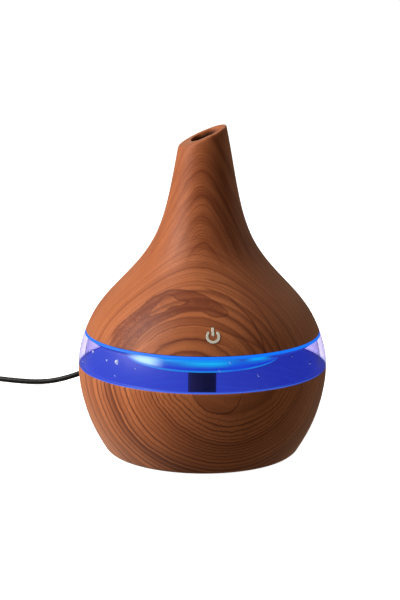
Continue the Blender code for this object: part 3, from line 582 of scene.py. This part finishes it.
def tank_features(g, field, colour):
    """The strong double ring on the left, and the darkest rings at the front's top."""
    front = g.fall(g.y, -20, -5)
    left = g.times(front, g.fall(g.x, -10, 0))
    soft = g.times(g.step(field, 73.4, 75.4), g.fall(field, 75.5, 75.8))
    colour = g.mix(g.times(soft, left, 0.6), colour, SHADE_TONE)
    for place, width, strength in ((75.5, 0.28, 0.75), (74.1, 0.3, 0.5), (82.6, 0.12, 0.5)):
        colour = ring_line(g, colour, g.add(field, -place), width, g.times(front, strength))
    heart = g.curve(g.x, ((-9, 38.6), (-5.6, 33.4), (-1.7, 30.4), (3, 29.5), (6.5, 29.8), (8.7, 31.6),
            (10.1, 34.1), (12.2, 39)))
    away = g.add(g.minus(g.z, heart), g.wave(2.5, 0.4, 2))
    here = g.times(front, g.step(g.x, -9, -8.6), g.fall(g.x, 11.8, 12.2))
    return ring_line(g, colour, away, 0.5, g.times(here, 0.85))


def plastic(name, colour, rough=0.4, grain=0.02, other=None, **more):
    """Moulded plastic or rubber: slight tone and gloss changes, and a fine spark texture."""
    g = Graph(name)
    cloud = g.noise(0.12, 3, 0.6)
    fine = g.noise(3, 2, 0.6)
    tone = g.mix(g.step(cloud, 0.35, 0.65), colour, other or shaded(colour, 0.82))
    tone = g.mix(g.times(fine, 0.18), tone, shaded(colour, 0.7))
    roughness = g.scaled(fine, 0.16, rough - 0.08)
    return g.principled(Base_Color=tone, Roughness=roughness, Normal=g.bump(fine, grain), **more)


def metal(name, colour, rough=0.28):
    """Plated or brushed metal with fine marks."""
    g = Graph(name)
    brushed = g.noise((0.5, 8, 8), 3, 0.6)
    cloud = g.noise(0.3, 2)
    tone = g.mix(g.times(cloud, 0.6), colour, shaded(colour, 0.75))
    roughness = g.scaled(brushed, 0.25, rough - 0.1)
    return g.principled(Base_Color=tone, Roughness=roughness, Metallic=1, Normal=g.bump(brushed, 0.008))


def woven(name, colour, size=0.55, rough=0.85):
    """Woven or fibrous material."""
    g = Graph(name)
    across = g.math("SINE", g.times(g.add(g.x, g.z), tau / size))
    along = g.math("SINE", g.times(g.add(g.y, g.times(g.z, 0.3)), tau / size))
    weave = g.times(across, along)
    fuzz = g.noise(4, 3, 0.7)
    height = g.add(weave, fuzz)
    tone = g.mix(g.step(height, -0.3, 1.4), shaded(colour, 0.55), colour)
    return g.principled(Base_Color=tone, Roughness=rough, Normal=g.bump(height, 0.12), Sheen_Weight=0.3)


def board(name):
    """Printed board: green mask over faint copper tracks."""
    g = Graph(name)
    tracks = g.noise((0.5, 0.5, 0), 1, 0.4, 1.5)
    lines = g.fall(g.away(tracks, 0.5), 0.015, 0.03)
    fine = g.noise(2.5, 2)
    tone = g.mix(g.times(lines, 0.6), (0.012, 0.12, 0.045), (0.05, 0.26, 0.1))
    return g.principled(Base_Color=tone, Roughness=g.scaled(fine, 0.15, 0.28), Normal=g.bump(lines, 0.03))


def lit(name, low, high, strength, other=None):
    """Plastic that glows with the lamps' light: dim colour, bright colour and how they are spread."""
    g = Graph(name)
    fine = g.noise(0.4, 3, 0.6)
    spread = strength(g)
    glow = g.mix(g.math("ADD", spread, g.scaled(fine, 0.12, -0.06), clamp=True), low, high)
    if other:
        glow = other(g, glow)
    return g.principled(Base_Color=(0.02, 0.03, 0.08), Roughness=0.45, Specular_IOR_Level=0.15,
            Emission_Color=glow, Emission_Strength=1, Normal=g.bump(fine, 0.02))


def spots(g, sharpness):
    """One at each of the six lamps' angles, the first at the front, and nought between them."""
    around = g.math("ARCTAN2", g.y, g.x)
    beat = g.math("COSINE", g.times(g.add(around, pi / 2), 6))
    return g.math("POWER", g.scaled(beat, 0.5, 0.5), sharpness)


def bowl_glow(g):
    """Brightness of the water bowl's painted glow: painted light a little stronger on the left, and faint
    level streaks on its water line.
    """
    side = g.step(g.x, -48, 48, 0.95, 0.05)
    streaks = g.step(g.noise((0.03, 0.03, 0.9), 2, 0.6), 0.52, 0.7, 0, 0.16)
    return g.add(side, streaks)


def seal_glow(g):
    """Brightness of the clear gasket: most at the front, where the lamps' light meets it."""
    return g.times(g.fall(g.away(g.x, -8), 8, 26), g.fall(g.y, -30, -10))


def pan_glow(g):
    """Brightness of the lamp pan's side wall: most at the lamps' height, and a bright line round its foot."""
    body = g.times(g.step(g.z, 42.7, 46), g.scaled(spots(g, 1), 0.62, 0.3))
    foot = g.times(g.step(g.z, 41, 41.4), g.fall(g.z, 41.8, 42.6))
    return g.scaled(foot, 0.42, g.scaled(g.step(g.z, 47.6, 50.5), -0.3, body))


def add_glare(g, glow, patches):
    """Patches on the front where the lamps show through: (x, reach, lowest height, strength) and colour."""
    for (x, reach, start, strength), colour in patches:
        high = g.step(g.z, start, start + 1.8)
        near = g.fall(g.away(g.x, x), 0.1 * reach, reach)
        near = g.times(near, g.fall(g.y, -10, 0))
        glow = g.mix(g.times(near, high, strength), glow, colour)
    return glow


def seal_extra(g, glow):
    """Glare on the gasket, white on the left and cyan on the right."""
    return add_glare(g, glow, (((-27, 8, 45, 1), (0.66, 1.25, 1.25)), ((18.5, 7, 45, 1), (0.002, 0.62, 1.1))))


def pan_extra(g, glow):
    """Glare beside the front lamp, white on the left and cyan on the right, and the flange's even painted
    blue glow.
    """
    glow = add_glare(g, glow, (((-26, 8.5, 41.8, 1), (0.78, 1.45, 1.35)),
            ((20, 6, 44.6, 1), (0.004, 0.62, 1.1)), ((12, 7, 40, 0.55), (0.012, 0.11, 0.80))))
    return g.mix(g.step(g.reach(g.x, g.y), 37, 44), glow, (0.001, 0.18, 1))


def window_material(name, tint, edge=None):
    """Clear tinted plastic: light passes straight through, and the surface reflects at a slant."""
    g = Graph(name)
    fine = g.noise((0.08, 0.08, 0.5), 3, 0.6)
    clear = g.node("BsdfTransparent", {0: g.mix(g.times(fine, 0.25), tint, shaded(tint, 0.93))})
    gloss = g.node("BsdfGlossy", {"Color": (0.9, 0.9, 1), "Roughness": g.scaled(fine, 0.04, 0.38)})
    facing = g.node("LayerWeight", {"Blend": 0.5}).outputs["Facing"]
    slant = g.scaled(g.math("POWER", facing, 5), 0.5, 0.02)
    mixed = g.node("MixShader", {0: slant, 1: clear.outputs[0], 2: gloss.outputs[0]})
    # An edge colour mixes in a painted glow, standing for the lamps' light caught in the clear edge.
    if edge:
        glow = g.node("Emission", {0: edge[0], 1: 1})
        part = g.scaled(fine, 0.1, edge[1])
        mixed = g.node("MixShader", {0: part, 1: mixed.outputs[0], 2: glow.outputs[0]})
    return g.finish(mixed.outputs[0])


def water_material(name):
    """Water bead: clear, with a dark shoulder of painted shade on its side away from the light, and painted
    highlights where it gathers the light.
    """
    g = Graph(name)
    normal = g.node("TexCoord").outputs["Normal"]
    fine = g.noise(1.5, 1)

    def towards(x, y, z):
        way = tuple(Vector((x, y, z)).normalized())
        return g.node("VectorMath", {0: normal, 1: way}, operation="DOT_PRODUCT").outputs["Value"]

    # Painted shade: darker on the bead's side turned away from the light, which is above on the left.
    shoulder = g.fall(towards(-0.55, -0.5, 0.65), 0.05, 0.55)
    clear = g.node("BsdfTransparent", {0: g.mix(shoulder, (0.95, 0.97, 1), (0.12, 0.16, 0.45))})
    glow = g.node("Emission", {0: g.mix(fine, (0.80, 0.92, 1), (0.95, 1, 1)), 1: 1})
    # Painted highlights: a white glow where the bead faces the light, and a weaker one low on its front.
    spot = g.math("MAXIMUM", g.step(towards(-0.75, -0.35, 0.55), 0.86, 0.96),
            g.times(g.step(towards(0.2, -0.75, -0.6), 0.84, 0.95), 0.8))
    mixed = g.node("MixShader", {0: spot, 1: clear.outputs[0], 2: glow.outputs[0]})
    return g.finish(mixed.outputs[0])


# Materials.

make_camera()

HEAD_WOOD = wood("wood_head", (-20.15, -113), 0.2015, 0, head_rings, head_features, 3, 1,
        ((38, 1.4), (12, 0.45), (4, 0.22), (1.4, 0.1)))
# The tank's ground tones are 1.2 times brighter than the head's: painted light standing in for bounce from
# the floor.
TANK_WOOD = wood("wood_tank", (-5.2, 34.1), -0.061, 0.0058, tank_rings, tank_features, 11, 1.2,
        ((38, 0.3), (14, 0.3), (4, 0.12), (1.2, 0.05)))
WHITE = plastic("white_plastic", (0.78, 0.78, 0.75), 0.42)
BROWN = plastic("brown_plastic", (0.13, 0.065, 0.04), 0.5, 0.03)
DARK = plastic("dark_plastic", (0.035, 0.02, 0.045), 0.4)
BLACK = plastic("black_plastic", (0.018, 0.018, 0.02), 0.42, 0.05, (0.012, 0.012, 0.013))
CABLE = plastic("black_cable", (0.010, 0.009, 0.009), 0.42, 0.02, Specular_IOR_Level=0.2)
RUBBER = plastic("rubber", (0.05, 0.05, 0.05), 0.75, 0.06)
SILICONE = plastic("silicone", (0.68, 0.71, 0.76), 0.5)
SYMBOL = plastic("symbol_white", (0.80, 0.74, 0.62), 0.38, 0.01)
CERAMIC = plastic("ceramic", (0.8, 0.76, 0.68), 0.5)
FERRITE = plastic("ferrite", (0.06, 0.06, 0.065), 0.6, 0.05)
SLEEVE = plastic("dark_sleeve", (0.02, 0.02, 0.06), 0.35)
RED = plastic("lead_red", (0.5, 0.02, 0.02), 0.4)
BLACK_WIRE = plastic("lead_black", (0.02, 0.02, 0.02), 0.4)
STEEL = metal("steel", (0.62, 0.62, 0.64))
BRASS = metal("brass", (0.75, 0.55, 0.25))
COPPER = metal("copper", (0.8, 0.4, 0.25), 0.34)
STRAP = woven("black_strap", (0.035, 0.035, 0.036), 0.7)
COTTON = woven("cotton", (0.82, 0.8, 0.75), 0.5)
BOARD = board("board_green")
LAMP = lit("led_white", (0.2, 0.55, 1), (0.7, 0.95, 1), lambda g: spots(g, 2))
PAN = lit("lamp_plastic", (0.014, 0.07, 0.68), (0.006, 0.92, 1.08), pan_glow, pan_extra)
LINER = lit("liner_lit", (0.015, 0.034, 0.37), (0.058, 0.12, 0.73), bowl_glow)
SEAL = lit("seal_lit", (0.03, 0.07, 0.5), (0.006, 0.50, 1), seal_glow, seal_extra)
CLEAR = window_material("clear_plastic", (0.80, 0.765, 0.945))
WATER = water_material("water")
CLEAR_EDGE = window_material("clear_edge", (0.85, 0.86, 0.99), ((0.10, 0.26, 1), 0.45))


# The lead: run, coil and tail as one tube.

def coil_points():
    """The coil's nine turns: the lower layer winds inwards and the upper one outwards."""
    points = []
    turns, per_turn = 9, 28
    for k in range(1, turns * per_turn):
        s = k / per_turn
        angle = -pi / 2 - tau * s
        if s < 4:
            radius, height = COIL_OUTER - 2 * LEAD_RADIUS * s, LEAD_RADIUS
        elif s < 5:
            rise = s - 4
            radius, height = COIL_INNER - LEAD_RADIUS * sin(pi * rise), LEAD_RADIUS * (1 + 2 * rise)
        else:
            radius, height = COIL_INNER + 2 * LEAD_RADIUS * (s - 5), 3 * LEAD_RADIUS
        x, y = polar(radius, angle)
        points.append((COIL_CENTRE[0] + x, COIL_CENTRE[1] + y, height))
    return points


def make_lead():
    """The supply lead as one smooth tube, with its path and length in metres."""
    into = (COIL_CENTRE[0] + 2.5, COIL_CENTRE[1] - COIL_OUTER, LEAD_RADIUS + 0.02)
    out = (COIL_CENTRE[0] - 4, COIL_CENTRE[1] - COIL_OUTER + 0.1, 3 * LEAD_RADIUS)
    path = smooth_path(LEAD_ROUTE + (into,), 3.6) + coil_points() + smooth_path((out,) + TAIL_ROUTE, 3)
    lead = tube("supply_lead", path, LEAD_RADIUS, 14, None, CABLE)
    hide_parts("lead_run", "lead_coil", "lead_tail")
    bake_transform(lead)
    along = [tuple(c * MM for c in p) for p in path]
    length = sum((Vector(b) - Vector(a)).length for a, b in zip(along, along[1:]))
    return lead, along, length


def along_y(start, height, x=0):
    """Turn and centre that lay a turned piece along +Y."""
    return {"turn": Matrix.Rotation(-pi / 2, 3, "X"), "centre": (x, start, height)}


def make_plug():
    """Barrel plug's grip and its ribbed strain relief."""
    length = RELIEF_START - PLUG_START
    body = [(0, 0), (3.5, 0), (4.1, 0.7), (4.2, 2), (4.2, 3.4), (3.95, 3.7), (3.95, 4.3), (4.2, 4.6),
            (4.2, 6), (3.95, 6.3), (3.95, 6.9), (4.2, 7.2), (4.2, length - 4), (3.9, length - 1.2),
            (3.1, length - 0.02), (0, length - 0.02)]
    grip = turned("plug_grip", body, "head", BLACK, 64, 0.35, **along_y(PLUG_START, JACK_HEIGHT))
    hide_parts("plug_body")
    reach = RELIEF_END - RELIEF_START
    ribs = 5
    outline = [(0, 0), (3, 0), (3, 0.5)]
    for k in range(ribs):
        low = 0.8 + k * (reach - 1.6) / ribs
        high = low + 0.62 * (reach - 1.6) / ribs
        radius = 2.95 - 1.05 * (k + 0.5) / ribs
        outline += [(radius - 0.5, low - 0.25), (radius, low), (radius - 0.08, high),
                (radius - 0.5, high + 0.2)]
    outline += [(1.75, reach - 0.6), (1.6, reach), (0, reach)]
    place = along_y(RELIEF_START, JACK_HEIGHT)
    relief = turned("plug_strain_relief", outline, "head", BLACK, 64, 0.18, **place)
    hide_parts("plug_relief")
    return [grip, relief]


def rounded_section(width, height, corner, steps=6):
    """Outline of a rectangle with round corners about the origin, counter-clockwise."""
    points = []
    for quarter, (sx, sy) in enumerate(((1, 1), (-1, 1), (-1, -1), (1, -1))):
        for k in range(steps + 1):
            x, y = polar(corner, (quarter + k / steps) * pi / 2)
            points.append((sx * (width / 2 - corner) + x, sy * (height / 2 - corner) + y))
    return points


def make_usb():
    """Supply plug: tapered relief, grip with ribs, and steel shell with its windows."""
    lift = USB_BODY[2] / 2
    relief = [(0, 0), (1.75, 0), (2, 0.6), (1.75, 1.2), (2.25, 1.6), (2.25, 2.6), (1.9, 3), (2.5, 3.4),
            (2.5, 4.6), (2.1, 5), (2.8, 5.4), (2.8, 6.8), (2.4, 7.2), (3, 7.6), (3, USB_RELIEF + 0.3),
            (0, USB_RELIEF + 0.3)]
    place = along_y(USB_START, 3.05, USB_X)
    cone = turned("usb_strain_relief", relief, "tank", BLACK, 48, 0.2, **place)
    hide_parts("usb_relief")
    start = USB_START + USB_RELIEF + 0.3
    width, length, height = USB_BODY
    stations = [(0, 0.80), (0.25, 0.90), (0.7, 0.965), (1.4, 1)]
    for groove in (4.6, 7.2, 9.8):
        stations += [(groove, 1), (groove + 0.4, 0.965), (groove + 1.1, 0.965), (groove + 1.5, 1)]
    stations += [(19.8, 1), (20.5, 0.97), (20.9, 0.93), (21, 0.90)]
    vertices = []
    section = rounded_section(width, height, 1.9)
    for at, size in stations:
        shrink = (1 - size) * height
        for x, z in section:
            vertices.append((USB_X + x * (1 - shrink / width), start + at, lift + z * (1 - shrink / height)))
    faces = stacked(len(section), len(stations))
    grip = piece("usb_grip", vertices, faces, "tank", BLACK, 28)
    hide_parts("usb_body")
    front = start + length + 0.3
    width, length, height = USB_SHELL
    outer, inner = rounded_section(width, height, 0.7, 4), rounded_section(width - 0.8, height - 0.8, 0.35, 4)
    rows = ((outer, 0), (outer, length), (inner, length), (inner, 1))
    vertices = [(USB_X + x, front + at, lift + z) for section, at in rows for x, z in section]
    shell = piece("usb_metal_shell", vertices, stacked(len(outer), len(rows)), "tank", STEEL)
    square = [(-1.1, -1.1), (1.1, -1.1), (1.1, 1.1), (-1.1, 1.1)]
    for side in (-2.7, 2.7):
        cut(shell, square, 1.4, UPRIGHT, (USB_X + side, front + 10.2, lift + height / 2))
    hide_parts("usb_shell")
    return [cone, grip, shell]


def make_strap():
    """Woven strap round the coil's turns."""
    x, y = COIL_CENTRE
    inner, outer = COIL_INNER - 3, COIL_OUTER + 1.5
    top, low, half = 5.45, 0.35, 2.5
    left, right = inner - 0.1, outer + 0.1
    path = soften([(left, low), (right, low), (right, top), (left, top)], 1.1, steps=5)
    thick, sunk = 0.7, 0.3
    vertices = []
    for px, pz in path:
        away = Vector(((px - (inner + outer) / 2) / (outer - inner), (pz - top / 2) / top)).normalized()
        under, over = (y + px, pz), (y + px + away.x * thick, max(0, pz - sunk + away.y * thick))
        for across, place in ((-half, under), (half, under), (half, over), (-half, over)):
            vertices.append((x + across, *place))
    strap = piece("coil_strap", vertices, revolved(4, len(path)), "tank", STRAP, 40)
    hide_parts("coil_tie")
    return strap


lead, lead_path, lead_length = make_lead()
plug_pieces = make_plug()
usb_pieces = make_usb()
strap = make_strap()


# Tank pieces.

def make_tank():
    wall = surface(SHELL_TOP, 1.6, 0, 40) + [(radius_at(FOOT_HEIGHT) - 0.6, FOOT_HEIGHT)]
    wall += [(BASE_OPENING, FOOT_HEIGHT), (BASE_OPENING, BASE_TOP)]
    wall += surface(BASE_TOP, SHELL_TOP, SHELL_WALL, 24)
    shell = turned("tank_shell", wall, "tank", [TANK_WOOD, LINER], soft=0.35, slot="wood_look")
    for face in shell.data.polygons:
        middle = face.center / MM
        if middle.z > 30 and hypot(middle.x, middle.y) < radius_at(middle.z) - 0.5:
            face.material_index = 1
    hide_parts("lower_shell")
    under = LINER_FLOOR - 1.5
    bowl = surface(LINER_TOP, 13, LINER_INSET, 20)
    bowl += [(radius_at(9.5) - 3.9, 9.5), (38, under), (3, under), (3, LINER_FLOOR), (38, LINER_FLOOR)]
    bowl += [(radius_at(10.5) - 4.9, 10.4)] + surface(13.5, LINER_TOP, LINER_INSET + LINER_WALL, 20)
    liner = turned("water_bowl", bowl, "tank", LINER, soft=0.5, slot="white_plastic")
    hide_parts("tank_liner")
    middle = [(0, under), (3.05, under), (3.05, LINER_FLOOR), (0, LINER_FLOOR)]
    turned("water_bowl_floor", middle, "tank", LINER, slot="white_plastic")


def make_window():
    """Clear band, with its lower edge lit by the light inside it."""
    low, high = WINDOW
    outside = surface(high - 0.35, low + 0.35, 0, 16)
    inside = surface(low + 0.35, high - 0.35, WINDOW_WALL, 12)
    under, over = radius_at(low), radius_at(high)
    profile = outside + [(under - 0.3, low), (under - WINDOW_WALL + 0.3, low)] + inside
    profile += [(over - WINDOW_WALL + 0.3, high), (over - 0.3, high)]
    band = turned("water_window", profile, "tank", [CLEAR, CLEAR_EDGE])
    for face in band.data.polygons:
        middle = face.center / MM
        if middle.z < low + 0.4 and hypot(middle.x, middle.y) > radius_at(low) - 0.5:
            face.material_index = 1
    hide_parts("window_ring")


def make_droplets():
    """Splashed water beads on the clear band's outside, as (angle in degrees, height, radius)."""
    beads = ((-157.1, 47.8, 0.5), (-166.9, 41.4, 0.4), (-144.3, 46.6, 0.35), (-137.6, 46.9, 0.95),
            (-137.4, 41.3, 0.4), (-126.4, 45.8, 0.35), (-82.5, 50, 0.45), (-87.6, 47.1, 0.32),
            (-69.6, 44.3, 0.45), (-49.2, 49.6, 0.4), (-37.1, 44.8, 0.5))
    vertices, faces = [], []
    sides, rows = 14, 5
    for order, (angle, height, radius) in enumerate(beads):
        around = radians(angle)
        slope = radius_at(height + 0.5) - radius_at(height - 0.5)
        outward = Vector(polar(1, around, -slope)).normalized()
        side = Vector(polar(1, around + pi / 2, 0))
        above = outward.cross(side) * -1
        at = Vector(polar(radius_at(height), around, height)) - outward * 0.04
        start = len(vertices)
        long = 1.1 + 0.15 * sin(3.1 * order)
        for row in range(rows):
            tilt = pi / 2 * row / rows
            for k in range(sides):
                turn = tau * k / sides
                droop = 1 - 0.12 * sin(turn)
                flat = side * cos(turn) + above * sin(turn) * long * droop
                rise = outward * BEAD_HEIGHT * sin(tilt)
                vertices.append(tuple(at + (flat * cos(tilt) + rise) * radius))
        vertices.append(tuple(at + outward * BEAD_HEIGHT * radius))
        faces += [tuple(start + k for k in face) for face in stacked(sides, rows, shut=False)]
        last, tip = start + (rows - 1) * sides, start + rows * sides
        faces += [(last + k, last + (k + 1) % sides, tip) for k in range(sides)]
    piece("water_droplets", vertices, faces, "tank", WATER)


def make_base():
    edge = BASE_OPENING - 0.3
    profile = [(0, BASE_TOP), (edge, BASE_TOP), (edge, FOOT_HEIGHT), (34.3, FOOT_HEIGHT), (34.3, 1.7),
            (25.7, 1.7), (25.7, FOOT_HEIGHT), (0, FOOT_HEIGHT)]
    base = turned("bottom_cover", profile, "tank", BROWN, soft=0.25)
    for k in range(3):
        angle = radians(90 + 120 * k)
        cut(base, circle(BASE_SCREW_WELL, 32), 8, UPRIGHT, polar(BASE_SCREW_REACH, angle, -2.3))
    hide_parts("base_plate")
    ring = [(34, 1.4), (34, 0), (33, 0), (32.6, 0.25), (31.4, 0.25), (31, 0), (29, 0), (28.6, 0.25),
            (27.4, 0.25), (27, 0), (26, 0), (26, 1.4)]
    foot = turned("foot_ring", ring, "tank", RUBBER, soft=0.2)
    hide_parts("anti_slip_ring")


# Head pieces.

def bore_reach(angle):
    """Distance from the axis to the spout passage's wall at an angle."""
    low, high = 0, 12
    for _ in range(40):
        middle = (low + high) / 2
        x, y = middle * cos(angle), abs(middle * sin(angle))
        inner_x = min(max(x, BORE_X[0] + BORE_CORNER), BORE_X[1] - BORE_CORNER)
        inner_y = min(y, BORE_HALF_WIDTH - BORE_CORNER)
        inside = hypot(x - inner_x, y - inner_y) < BORE_CORNER
        low, high = (middle, high) if inside else (low, middle)
    return low


def mouth_plane(reach, angle):
    """Height of the slanted mouth at a reach from the axis and an angle round it."""
    return MOUTH_HEIGHT + reach * (MOUTH_SLOPE * cos(angle) + MOUTH_LEAN * sin(angle))


def make_head_shell():
    """Drop-shaped cover with its slanted mouth, as one mesh of rings that tilt into the mouth's plane."""
    steps, lip = 224, 0.8
    vertices = []
    for k in range(steps):
        angle = tau * k / steps
        top = MOUTH_HEIGHT
        for _ in range(30):
            top = mouth_plane(radius_at(top), angle)
        column = surface(HEAD_BOTTOM + 0.3, 118, 0, 64)
        column += [(radius_at(z), z) for z in np.linspace(118, top - lip, 12)[1:]]
        start, corner = Vector(column[-1]), Vector((radius_at(top), top))
        end = Vector((corner.x - lip, mouth_plane(corner.x - lip, angle)))
        for t in (0.25, 0.5, 0.75, 1):
            column.append(tuple(start * (1 - t) ** 2 + corner * (2 * t * (1 - t)) + end * t ** 2))
        edge_r = bore_reach(angle)
        for out, down in ((0.35, 0), (0.1, 0.1), (0, 0.4)):
            column.append((edge_r + out, mouth_plane(edge_r + out, angle) - down))
        column += [(edge_r, float(z)) for z in np.linspace(column[-1][1], NECK_CEILING, 8)[1:]]
        column.append((radius_at(NECK_CEILING) - HEAD_WALL - 1, NECK_CEILING))
        column += surface(NECK_CEILING - 1.5, HEAD_BOTTOM + 0.2, HEAD_WALL, 30)
        column += [(radius_at(HEAD_BOTTOM) - inset, HEAD_BOTTOM) for inset in (HEAD_WALL - 0.3, 0.3)]
        vertices += [polar(r, angle, z) for r, z in column]
    return piece("head_cover", vertices, revolved(len(column), steps), "head", HEAD_WOOD, 50)


def symbol_frame():
    """Placement of the symbol: its own Z points outwards and its own Y upwards."""
    slope = (radius_at(SYMBOL_HEIGHT + 1) - radius_at(SYMBOL_HEIGHT - 1)) / 2
    outward = Vector((0, -1, -slope)).normalized()
    right = Vector((1, 0, 0))
    centre = Vector((0, -radius_at(SYMBOL_HEIGHT), SYMBOL_HEIGHT))
    return centre, Matrix((right, outward.cross(right), outward)).transposed(), outward


def symbol_outlines(spare):
    """Outlines of the open ring and the bar, grown by spare, with round ends."""
    half = SYMBOL_STROKE / 2 + spare
    first, last = pi / 2 + SYMBOL_GAP, pi / 2 - SYMBOL_GAP + tau
    cap = 0.5 * half / SYMBOL_RADIUS
    angles = [first + cap + (last - first - 2 * cap) * k / 48 for k in range(49)]
    outer = [polar(SYMBOL_RADIUS + half, a) for a in angles]
    inner = [polar(SYMBOL_RADIUS - half, a) for a in angles]

    def bulge(angle, way):
        made = []
        for t in (-0.7, 0, 0.7):
            turn = angle + cap * way * (1 - 0.35 * t * t)
            made.append(polar(SYMBOL_RADIUS + half * t * way, turn))
        return made

    ring = outer + bulge(angles[-1], 1)[::-1] + inner[::-1] + bulge(angles[0], -1)[::-1]
    low, high = SYMBOL_BAR[0] - spare, SYMBOL_BAR[1] + spare
    bar = soften([(-half, low), (half, low), (half, high), (-half, high)], 0.5 * half, steps=4)
    return {"ring": ring, "bar": bar}


def make_symbol(shell):
    """Power symbol, inlaid in pockets that leave a thin dark line round it."""
    centre, turn, outward = symbol_frame()
    for outline in symbol_outlines(0.24).values():
        cut(shell, outline, 1.6, turn, centre + outward * (0.8 - 0.3))
    for part, outline in symbol_outlines(0).items():
        vertices, faces = prism(outline, 0.4, turn, centre - outward * (0.2 - SYMBOL_PROUD))
        made = piece(f"symbol_{part}", vertices, faces, "head", SYMBOL, 40)
        soft = made.modifiers.new("soft_edge", "BEVEL")
        soft.width, soft.segments, soft.limit_method = 0.08 * MM, 2, "ANGLE"
        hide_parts(f"power_symbol_{part}")


def make_head():
    shell = make_head_shell()
    cut(shell, circle(JACK_HOLE, 40), 14, **along_y(47, JACK_HEIGHT))
    make_symbol(shell)
    shell.data.set_sharp_from_angle(angle=radians(50))
    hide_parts("upper_shell")
    low, high = FLANGE
    profile = [(radius_at(high) - 0.02, high), (radius_at(low) - 0.02, low), (46.4, low), (46.4, 49.3),
            (45.4, 49.3), (45.4, low), (34.2, low), (33.9, 47.5), (33.3, 43.2), (32.6, 41.6), (31, 41),
            (9.6, 41), (9.6, 42.4), (30.6, 42.4), (31.8, 43.6), (32.7, high)]
    pan = turned("lamp_bowl", profile, "head", PAN, soft=0.5)
    for k in range(3):
        angle = radians(10 + 120 * k)
        cut(pan, circle(PAN_SCREW_HOLE, 24), 6, UPRIGHT, polar(PAN_SCREW_REACH, angle, 51))
    pan.data.set_sharp_from_angle(angle=radians(32))
    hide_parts("lamp_pan")
    profile = [(47.5, 50.6), (47.5, 49.3), (46.7, 49.3), (46.7, 50.6)]
    seal = turned("head_gasket", profile, "head", SEAL, soft=0.25, slot="lit_silicone")
    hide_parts("head_seal")
    profile = [(6.1, 104), (6.1, 40.7), (10.8, 40.7), (10.8, 38.6), (6.1, 38.2), (6.1, 12), (4.6, 12),
            (4.6, 104)]
    wick = turned("wick_holder", profile, "head", DARK, 64, 0.4)
    slot = [(-10, -3), (10, -3), (10, 3), (-10, 3)]
    for k in range(2):
        turn = Matrix.Rotation(k * pi / 2, 3, "Z") @ Matrix.Rotation(pi / 2, 3, "X")
        cut(wick, slot, 2.4, turn, (0, 0, 17.5))
    wick.data.set_sharp_from_angle(angle=radians(32))
    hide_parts("wick_tube")
    cap = [(0, 13), (4.3, 13), (4.3, 11.7), (6.1, 11.7), (6.1, 9.9), (5.5, 9.3), (0, 9.3)]
    end = turned("wick_end_cap", cap, "head", DARK, 64, 0.3)
    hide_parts("wick_cap")


make_tank()
make_window()
make_droplets()
make_base()
make_head()


# Finishes of the CAD nodes that stay as they are.

def repaint():
    groups = (
        (STEEL, "base_screw mesh_plate wick_spring pan_screw board_screw plug_barrel"),
        (WHITE, "usb_tongue inner_column disc_retainer"),
        (SILICONE, "column_gasket spout_seal lower_disc_gasket upper_disc_gasket"),
        (BOARD, "control_board jack_board"), (BLACK, "control_chip dc_jack"), (RED, "touch_lead disc_lead_1"),
        (BLACK_WIRE, "disc_lead_2"), (LINER, "window_gasket"), (CERAMIC, "piezo_ring"), (COTTON, "wick"),
        (LAMP, "led"), (FERRITE, "driver_inductor"), (SLEEVE, "filter_capacitor"), (COPPER, "touch_pad"),
        (BRASS, "jack_pin"),
    )
    finishes = {name: finish for finish, names in groups for name in names.split()}
    for name, obj in nodes.items():
        if obj.hide_render:
            continue
        stem = name.rstrip("0123456789").rstrip("_")
        finish = finishes.get(name) or finishes[stem]
        for place in obj.material_slots:
            place.material = finish


repaint()


# Stage.

def make_stage():
    """Pale floor that curves up into a backdrop all round, far from the object."""
    flat, bend, high, steps = 4000, 2500, 7000, 72
    arc = [polar(bend, a) for a in np.linspace(0.1, pi / 2, 14)]
    profile = [(0, 0), (flat, 0), *((flat + y, bend - x) for x, y in arc), (flat + bend, high)]
    vertices = [polar(r, tau * k / steps, z) for k in range(steps) for r, z in profile]
    g = Graph("pale_floor")
    fine = g.noise(0.01, 2)
    tone = g.mix(fine, (0.80, 0.80, 0.80), (0.82, 0.82, 0.82))
    paint = g.principled(Base_Color=tone, Roughness=0.9, Specular_IOR_Level=0, Emission_Color=(1, 1, 1),
            Emission_Strength=0.97)
    floor = new_object("floor", vertices, revolved(len(profile), steps, 1))
    floor.data.shade_smooth()
    floor.data.materials.append(paint)
    floor.visible_diffuse = False
    floor.visible_glossy = False


def area_light(name, place, size, power, colour=(1, 1, 1), mirrored=True, aim=(0, 0, 0.07)):
    data = bpy.data.lights.new(name, "AREA")
    data.shape = "RECTANGLE"
    data.size, data.size_y = size
    data.energy = power
    data.color = colour
    light = add_object(name, data)
    light.location = place
    light.rotation_euler = (Vector(aim) - Vector(place)).to_track_quat("-Z", "Y").to_euler()
    light.visible_camera = False
    light.visible_glossy = mirrored


def make_light():
    area_light("key", (-1.02, -0.27, 0.78), (0.7, 0.9), 22, (1, 0.99, 0.985))
    area_light("low_left", (-1.1, 0.15, 0.12), (0.5, 0.8), 8.5, (1, 0.96, 0.95), mirrored=False)
    area_light("rim", (1, 0.55, 0.35), (0.5, 0.8), 2, (1, 0.86, 0.72), mirrored=False)
    world = bpy.data.worlds.new("studio")
    world.use_nodes = True
    back = world.node_tree.nodes["Background"]
    back.inputs[0].default_value = (1, 0.90, 0.70, 1)
    back.inputs[1].default_value = 0.155
    bpy.context.scene.world = world
    bpy.context.scene.view_settings.view_transform = "Standard"


make_stage()
make_light()
